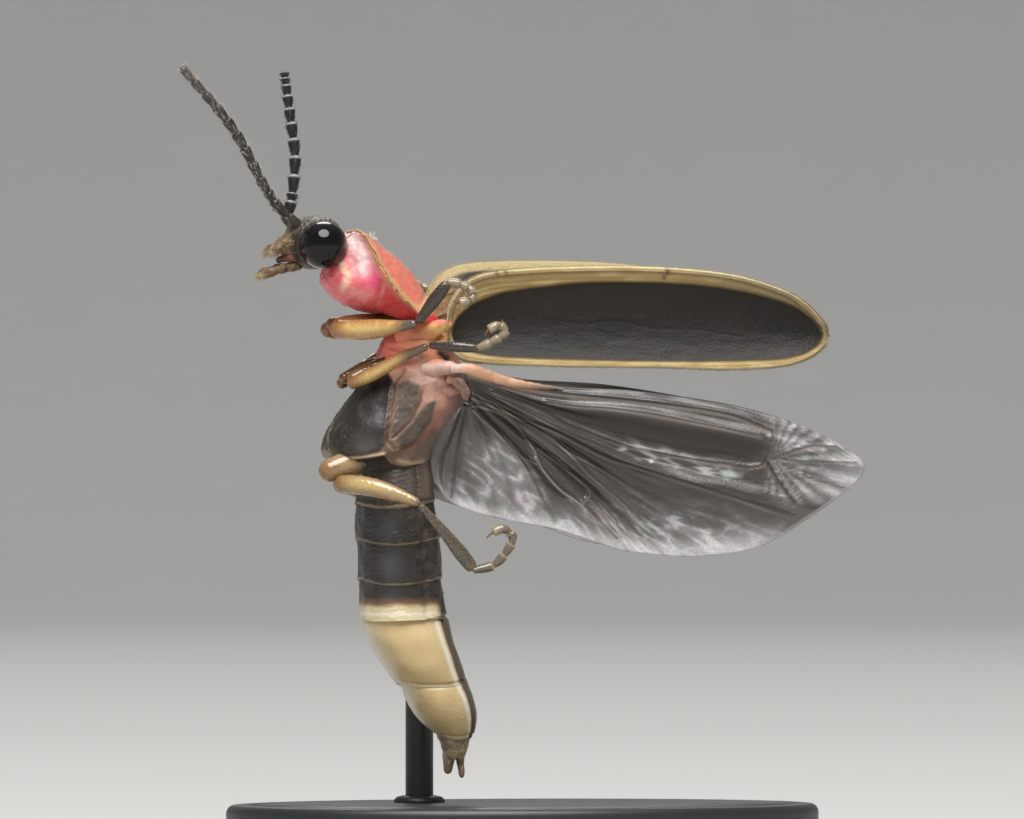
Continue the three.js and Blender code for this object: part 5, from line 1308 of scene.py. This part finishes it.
def makeClaws(which, side, footGrid, seed):
    tip = footGrid[-1].mean(0)
    ahead = unit(tip - footGrid[-8].mean(0))
    before = unit(footGrid[-20].mean(0) - footGrid[-40].mean(0))
    curl = unit(ahead - before * np.dot(ahead, before) + 1e-6)
    sideways = np.cross(ahead, curl)
    parts = []
    for sign in (-1, 1):
        f = np.linspace(0, 1, 8)[:, None]
        path = tip - 0.02 * ahead + 0.15 * f * ahead + 0.10 * f**2 * curl + sign * (0.03 + 0.035 * f) * sideways
        t = np.linspace(0, 1, 24)
        parts.append(closedTube(tubeSurface(path, 0.026 * (1 - t) ** 0.7 + 0.003, 24, 12, 1.0, t)))
    makePiece(f"{which}Claws{side}", joined(parts), materials["claw"])


# Abdomen: dark rings, each ending in a tan edge that overlaps the next
abdomenLook = {
    "belly": [(-3.9, 10.0), (-4.02, 9.5), (-4.13, 8.85), (-4.1, 7.97), (-4.05, 6.97), (-4.0, 5.97)],
    "back": [(-2.4, 10.1), (-2.3, 9.55), (-2.25, 8.9), (-2.13, 7.97), (-2.06, 6.97), (-1.95, 6.05)],
    "half": [0.95, 1.05, 1.13, 1.2, 1.2, 1.16],
    "steps": [0.0, 0.4, 0.6, 0.8, 1.0],  # where the rings end, as shares of the length
    "flare": 0.04,
}


def ringed(t, bounds, flare, soft=0.03):
    # each ring widens slowly to its hind edge and then drops to the next ring's front
    k = np.clip(np.searchsorted(bounds, t, side="right") - 1, 0, len(bounds) - 2)
    f = (t - bounds[k]) / (bounds[k + 1] - bounds[k])
    return 1 - flare / 2 + flare * f**1.5 - flare * step(1 - soft, 1.0, f), k, f


def makeAbdomen():
    rows, around = 320, 160
    t = np.linspace(0, 1, rows)
    grid = ringSurface(abdomenLook["belly"], abdomenLook["back"], abdomenLook["half"], rows, around, 2.35)
    a = np.arange(around) / around * 2 * np.pi
    # the ring edges sag on the belly side and at the flank
    sag = t[:, None] + 0.020 * np.cos(2 * np.abs(np.angle(np.exp(1j * a))) - 0.7)[None] * step(0.05, 0.2, t)[:, None]
    size, k, f = ringed(sag, np.array(abdomenLook["steps"]), abdomenLook["flare"])
    middle = grid.mean(1, keepdims=True)
    grid = middle + (grid - middle) * size[..., None]
    # a soft fold down each flank between back plate and belly plate, and shallow dents in the plates
    flank = bell(np.abs(np.abs(np.angle(np.exp(1j * a))) - 1.25), 0.09)[None]
    rise = -0.05 * flank * step(0.02, 0.1, t)[:, None] + waves(grid * (1, 1, 0.6), 0.5, 81) * 0.02 + waves(grid, 0.11, 82) * 0.005
    grid = pushOut(grid, rise)
    surface = closedTube(grid)
    points = surface["points"]
    fAll = np.concatenate([f.ravel(), [0, 1]])
    kAll = np.concatenate([k.ravel(), [0, 3]])
    u, v = seenFromLeft(points)
    dorsal = np.concatenate([np.tile(np.cos(a), rows), [0, 0]])
    tone = np.ones_like(points) * (0.020, 0.015, 0.012)
    tone = towards(tone, step(-0.2, 0.9, waves(points, 0.35, 83)) * 0.7 * step(-0.1, 0.4, dorsal), (0.075, 0.054, 0.036))
    # painted sheen: a bluish-grey patch on the lower flank, in the middle of each ring after the first
    paintedBlueSheen = bell(dorsal + 0.42, 0.28) * bell(fAll - 0.5, 0.36) * step(0.5, 1, kAll)
    tone = towards(tone, 0.8 * paintedBlueSheen, (0.070, 0.072, 0.080))
    tone = towards(tone, 0.8 * step(0.93, 0.97, fAll + 0.012 * waves(points, 0.3, 84)), (0.27, 0.19, 0.10))
    tone = towards(tone, step(9.0, 9.15, v), (0.085, 0.068, 0.055))
    tone = towards(tone, 0.6 * step(9.0, 9.15, v) * bell(u + 2.4, 0.14), (0.30, 0.22, 0.14))
    edge = v + 0.03 * waves(points, 0.5, 85)
    tone = towards(tone, 0.8 * step(6.62, 6.45, edge) * step(0.75, 0.55, dorsal), (0.20, 0.10, 0.04))
    tone = towards(tone, step(6.47, 6.3, edge) * step(0.75, 0.55, dorsal), (0.74, 0.60, 0.36))
    tone = towards(tone, 0.8 * bell(edge - 6.17, 0.05) * step(0.75, 0.55, dorsal), (0.90, 0.84, 0.70))
    surface["tone"] = tone
    makePiece("abdomen", surface, materials["rings"], ["abdomen"])
    coats = [
        bristles(grid, True, {"count": 9000, "seed": 86, "lie": (1.0, 0.0), "lift": 0.2, "stray": 0.2,
                              "length": 0.08, "width": 0.003, "bend": 0.2, "along": (0.08, 0.86)}),
        bristles(grid, True, {"count": 3600, "seed": 87, "lie": (1.0, 0.0), "lift": 0.3, "stray": 0.2, "length": 0.09,
                              "width": 0.0032, "bend": 0.3},
                 lambda root, t, a, own: np.min(np.abs(t[:, None] - np.array([[0.39, 0.59, 0.79]])), 1) < 0.012),
    ]
    makePiece("abdomenHair", joinedCoat(coats), materials["down"])


# Lanterns: two waxy cream plates, each with its dark back plate, and the tail behind them
lanternLook = {
    "Front": {
        "belly": [(-3.96, 6.04), (-3.92, 5.8), (-3.8, 5.45), (-3.52, 4.95), (-3.22, 4.55), (-3.08, 4.42)],
        "back": [(-1.97, 6.1), (-1.93, 5.85), (-1.84, 5.5), (-1.68, 5.0), (-1.54, 4.6), (-1.52, 4.46)],
        "half": [1.05, 1.12, 1.17, 1.12, 1.0, 0.86],
        "bow": (0.0, 0.14),
        "inward": 0.3,
        "node": "lantern_front",
        "seed": 91,
    },
    "Rear": {
        "belly": [(-3.04, 4.5), (-2.96, 4.25), (-2.81, 3.87), (-2.52, 3.46), (-2.2, 3.2), (-2.02, 3.1)],
        "back": [(-1.52, 4.6), (-1.47, 4.42), (-1.34, 4.05), (-1.25, 3.65), (-1.27, 3.24), (-1.36, 3.12)],
        "half": [0.88, 0.95, 0.92, 0.8, 0.58, 0.42],
        "bow": (0.14, 0.08),
        "inward": 0.6,
        "node": "lantern_rear",
        "seed": 95,
    },
}


def makeLantern(name):
    look = lanternLook[name]
    rows, around = 170, 190
    grid = ringSurface(look["belly"], look["back"], look["half"], rows, around, 2.5)
    t = np.linspace(0, 1, rows)
    size = np.sqrt(np.clip(1 - np.clip(1 - t / 0.1, 0, 1) ** 2 * 0.45, 0, 1))
    size = size * np.sqrt(np.clip(1 - np.clip((t - 0.9) / 0.1, 0, 1) ** 2 * look["inward"], 0, 1))
    middle = grid.mean(1, keepdims=True)
    grid = middle + (grid - middle) * size[:, None, None]
    a = np.arange(around) / around * 2 * np.pi
    off = np.abs(np.angle(np.exp(1j * a)))[None]
    # both edges of a plate bow down at the flanks
    bow = look["bow"][0] * step(0.5, 0.0, t) + look["bow"][1] * step(0.5, 1.0, t)
    grid[..., 2] -= bow[:, None] * np.sin(off) ** 2
    seam = bell(off - 0.72, 0.05)
    rise = waves(grid, 0.8, look["seed"]) * 0.014 + waves(grid, 0.14, look["seed"] + 1) * 0.002 - 0.06 * seam
    rise = rise + 0.05 * step(0.70, 0.62, off) * np.ones_like(rise)
    rise = rise + 0.03 * bell(t[:, None] - 0.93, 0.03) - 0.03 * bell(t[:, None] - 0.86, 0.03)
    grid = pushOut(grid, rise)
    surface = closedTube(grid)
    points = surface["points"]
    around1 = np.concatenate([np.tile(off[0], rows), [2, 2]])
    tone = np.ones_like(points) * (0.66, 0.49, 0.245)
    tone = towards(tone, step(-0.2, 0.9, waves(points, 0.8, look["seed"] + 2)) * 0.5, (0.72, 0.56, 0.31))
    tone = towards(tone, 0.8 * step(0.12, 0.03, surface["t"]), (0.86, 0.78, 0.60))
    tone = towards(tone, 0.8 * step(0.88, 0.95, surface["t"]), (0.86, 0.79, 0.62))
    tone = towards(tone, 0.9 * bell(around1 - 0.98, 0.10), (0.90, 0.86, 0.74))
    tone = towards(tone, 0.5 * bell(around1 - np.pi, 0.5), (0.86, 0.80, 0.66))
    tone = towards(tone, 0.95 * step(0.78, 0.68, around1), (0.07, 0.048, 0.034))
    tone = towards(tone, 0.8 * bell(around1 - 0.82, 0.05), (0.55, 0.42, 0.22))
    surface["tone"] = tone
    makePiece(f"lantern{name}", surface, materials["lantern"], [look["node"]])
    hair = {"count": 3000, "seed": look["seed"] + 3, "lie": (1.0, 0.0), "lift": 0.2, "stray": 0.2, "length": 0.06,
            "width": 0.0026, "bend": 0.2}
    onBelly = lambda root, t, a, own: (np.minimum(a, 1 - a) * 2 * np.pi > 0.78) | (own.uniform(size=len(a)) < 0.1)
    makePiece(f"lanternHair{name}", bristles(grid, True, hair, onBelly), materials["bristle"])


tailLook = {
    "belly": [(-2.16, 3.16), (-2.06, 2.95), (-1.98, 2.72), (-1.92, 2.5)],
    "back": [(-1.34, 3.16), (-1.38, 2.95), (-1.42, 2.75), (-1.48, 2.56)],
    "half": [0.42, 0.4, 0.34, 0.24],
    "prongs": [([(-1.82, 2.85, 0.0), (-1.85, 2.55, 0.0), (-1.87, 2.34, 0.0), (-1.88, 2.16, 0.0)], [0.19, 0.17, 0.13, 0.08]),
               ([(-1.6, 2.9, 0.0), (-1.57, 2.5, 0.0), (-1.54, 2.25, 0.0), (-1.53, 2.06, 0.0)], [0.17, 0.11, 0.085, 0.075])],
}


def makeTail():
    plate = ringSurface(tailLook["belly"], tailLook["back"], tailLook["half"], 80, 90, 2.3)
    plate = pushOut(plate, waves(plate, 0.2, 101) * 0.012)
    parts = [closedTube(plate)]
    for points, radii in tailLook["prongs"]:
        grid = ends(legTube(points, radii, 50, 30, 1.2), 0.1, 0.12)
        parts.append(closedTube(pushOut(grid, waves(grid, 0.15, 102) * 0.008)))
    whole = joined(parts)
    points = whole["points"]
    tone = np.ones_like(points) * (0.27, 0.20, 0.12)
    tone = towards(tone, step(-0.3, 0.8, waves(points, 0.3, 103)), (0.44, 0.35, 0.22))
    whole["tone"] = towards(tone, 0.6 * step(2.75, 2.45, points[:, 2]), (0.16, 0.115, 0.07))
    makePiece("tail", whole, materials["lantern"], ["tail"])
    hair = {"count": 900, "curved": True, "seed": 104, "lie": (1.0, 0.0), "lift": 0.3, "stray": 0.2, "length": 0.09, "width": 0.0034, "bend": 0.2}
    makePiece("tailHair", bristles(plate, True, hair), materials["bristle"])


# Stand: an oval plate with rounded edges, and a rod with an arm to the lantern's far flank
standLook = {
    "length": 15.0,
    "width": 10.0,
    "height": 1.4,
    "round": 0.22,
    "rodAcross": -2.6,
    "rodDepth": 1.95,
    "rodRadius": 0.35,
    "armUp": 5.35,
    "bendRadius": 0.3,
    "flank": 1.08,
}


def turned(profile, around, squash, middle):
    # profile of (radius, height) carried round a vertical line, squashed in depth
    a = np.arange(around) / around * 2 * np.pi
    p = np.asarray(profile, float)
    grid = np.stack([p[:, :1] * np.cos(a), p[:, :1] * np.sin(a) * squash, np.repeat(p[:, 1:], around, 1)], -1)
    return closedTube(grid + np.asarray(middle, float))


def makeStand():
    half, tall, edge = standLook["length"] / 2, standLook["height"], standLook["round"]
    bend = np.linspace(0, np.pi / 2, 12)
    lower = [(half - edge * (1 - np.sin(b)), edge * (1 - np.cos(b))) for b in bend]
    upper = [(half - edge * (1 - np.cos(b)), tall - edge * (1 - np.sin(b))) for b in bend]
    inset = [(half - edge - 0.35, tall), (half - edge - 0.4, tall - 0.05), (half - edge - 0.5, tall - 0.05),
             (half - edge - 0.55, tall)]
    profile = [(0.5, 0.0), (4.0, 0.0), *lower, *upper, *inset, (4.0, tall), (0.5, tall)]
    makePiece("standBase", turned(profile, 220, standLook["width"] / standLook["length"], (0, 0, 0)), materials["stand"],
              ["stand_base"])
    foot = place(standLook["rodAcross"], 0.0, standLook["rodDepth"])
    r, up, flank = standLook["rodRadius"], standLook["armUp"], standLook["flank"]
    b = np.linspace(0, np.pi / 2, 16)
    k = standLook["bendRadius"]
    corner = np.stack([foot[0] + 0 * b, foot[1] - k * (1 - np.cos(b)), up - k * (1 - np.sin(b))], -1)
    path = np.vstack([[foot[0], foot[1], tall - 0.1], [foot[0], foot[1], (up + tall) / 2], corner, [foot[0], flank, up]])
    run = np.concatenate([[0], np.cumsum(np.linalg.norm(np.diff(path, axis=0), axis=1))])
    t = np.linspace(0, run[-1], 120)
    centre = np.stack([np.interp(t, run, path[:, i]) for i in range(3)], -1)
    tangent = unit(np.gradient(centre, axis=0))
    across = np.cross(tangent, np.array([1.0, 0, 0]))
    a = np.arange(48) / 48 * 2 * np.pi
    radius = np.interp(t / run[-1], [0, 0.78, 0.86, 1], [r, r, r * 0.8, r * 0.62])
    rod = centre[:, None] + radius[:, None, None] * (np.cos(a)[None, :, None] * np.array([1.0, 0, 0])
                                                     + np.sin(a)[None, :, None] * across[:, None])
    collar = [(0.2, tall - 0.06), (r + 0.28, tall - 0.04), (r + 0.3, tall + 0.05), (r + 0.22, tall + 0.14), (r + 0.06, tall + 0.18),
              (0.2, tall + 0.18)]
    pad = [(0.1, 0.0), (0.3, 0.0), (0.33, 0.04), (0.33, 0.12), (0.28, 0.16), (0.1, 0.16)]
    cup = turned(pad, 40, 1.0, (0, 0, 0))
    cup["points"] = cup["points"][:, [0, 2, 1]] * (1, -1, 1) + (foot[0], flank + 0.2, up)
    whole = joined([closedTube(rod), turned(collar, 60, 1.0, (foot[0], foot[1], 0)), facingOut(cup)])
    makePiece("standRod", whole, materials["stand"], ["stand_rod"])


makeHead()
for sign, side in ((-1, "Left"), (1, "Right")):
    makeEye(sign, side)
    makeFeeler(side)
print("head, eyes and feelers made")
makeShield()
makeThorax()
print("shield and thorax made")
makeCovers()
makeWings()
print("wing covers and wings made")
for i, which in enumerate(("fore", "middle", "hind")):
    makeLeg(which, "Left", 110 + 10 * i)
    makeLeg(which, "Right", 150 + 10 * i)
print("legs made")
makeAbdomen()
makeLantern("Front")
makeLantern("Rear")
makeTail()
makeStand()
print("abdomen, lanterns, tail and stand made")
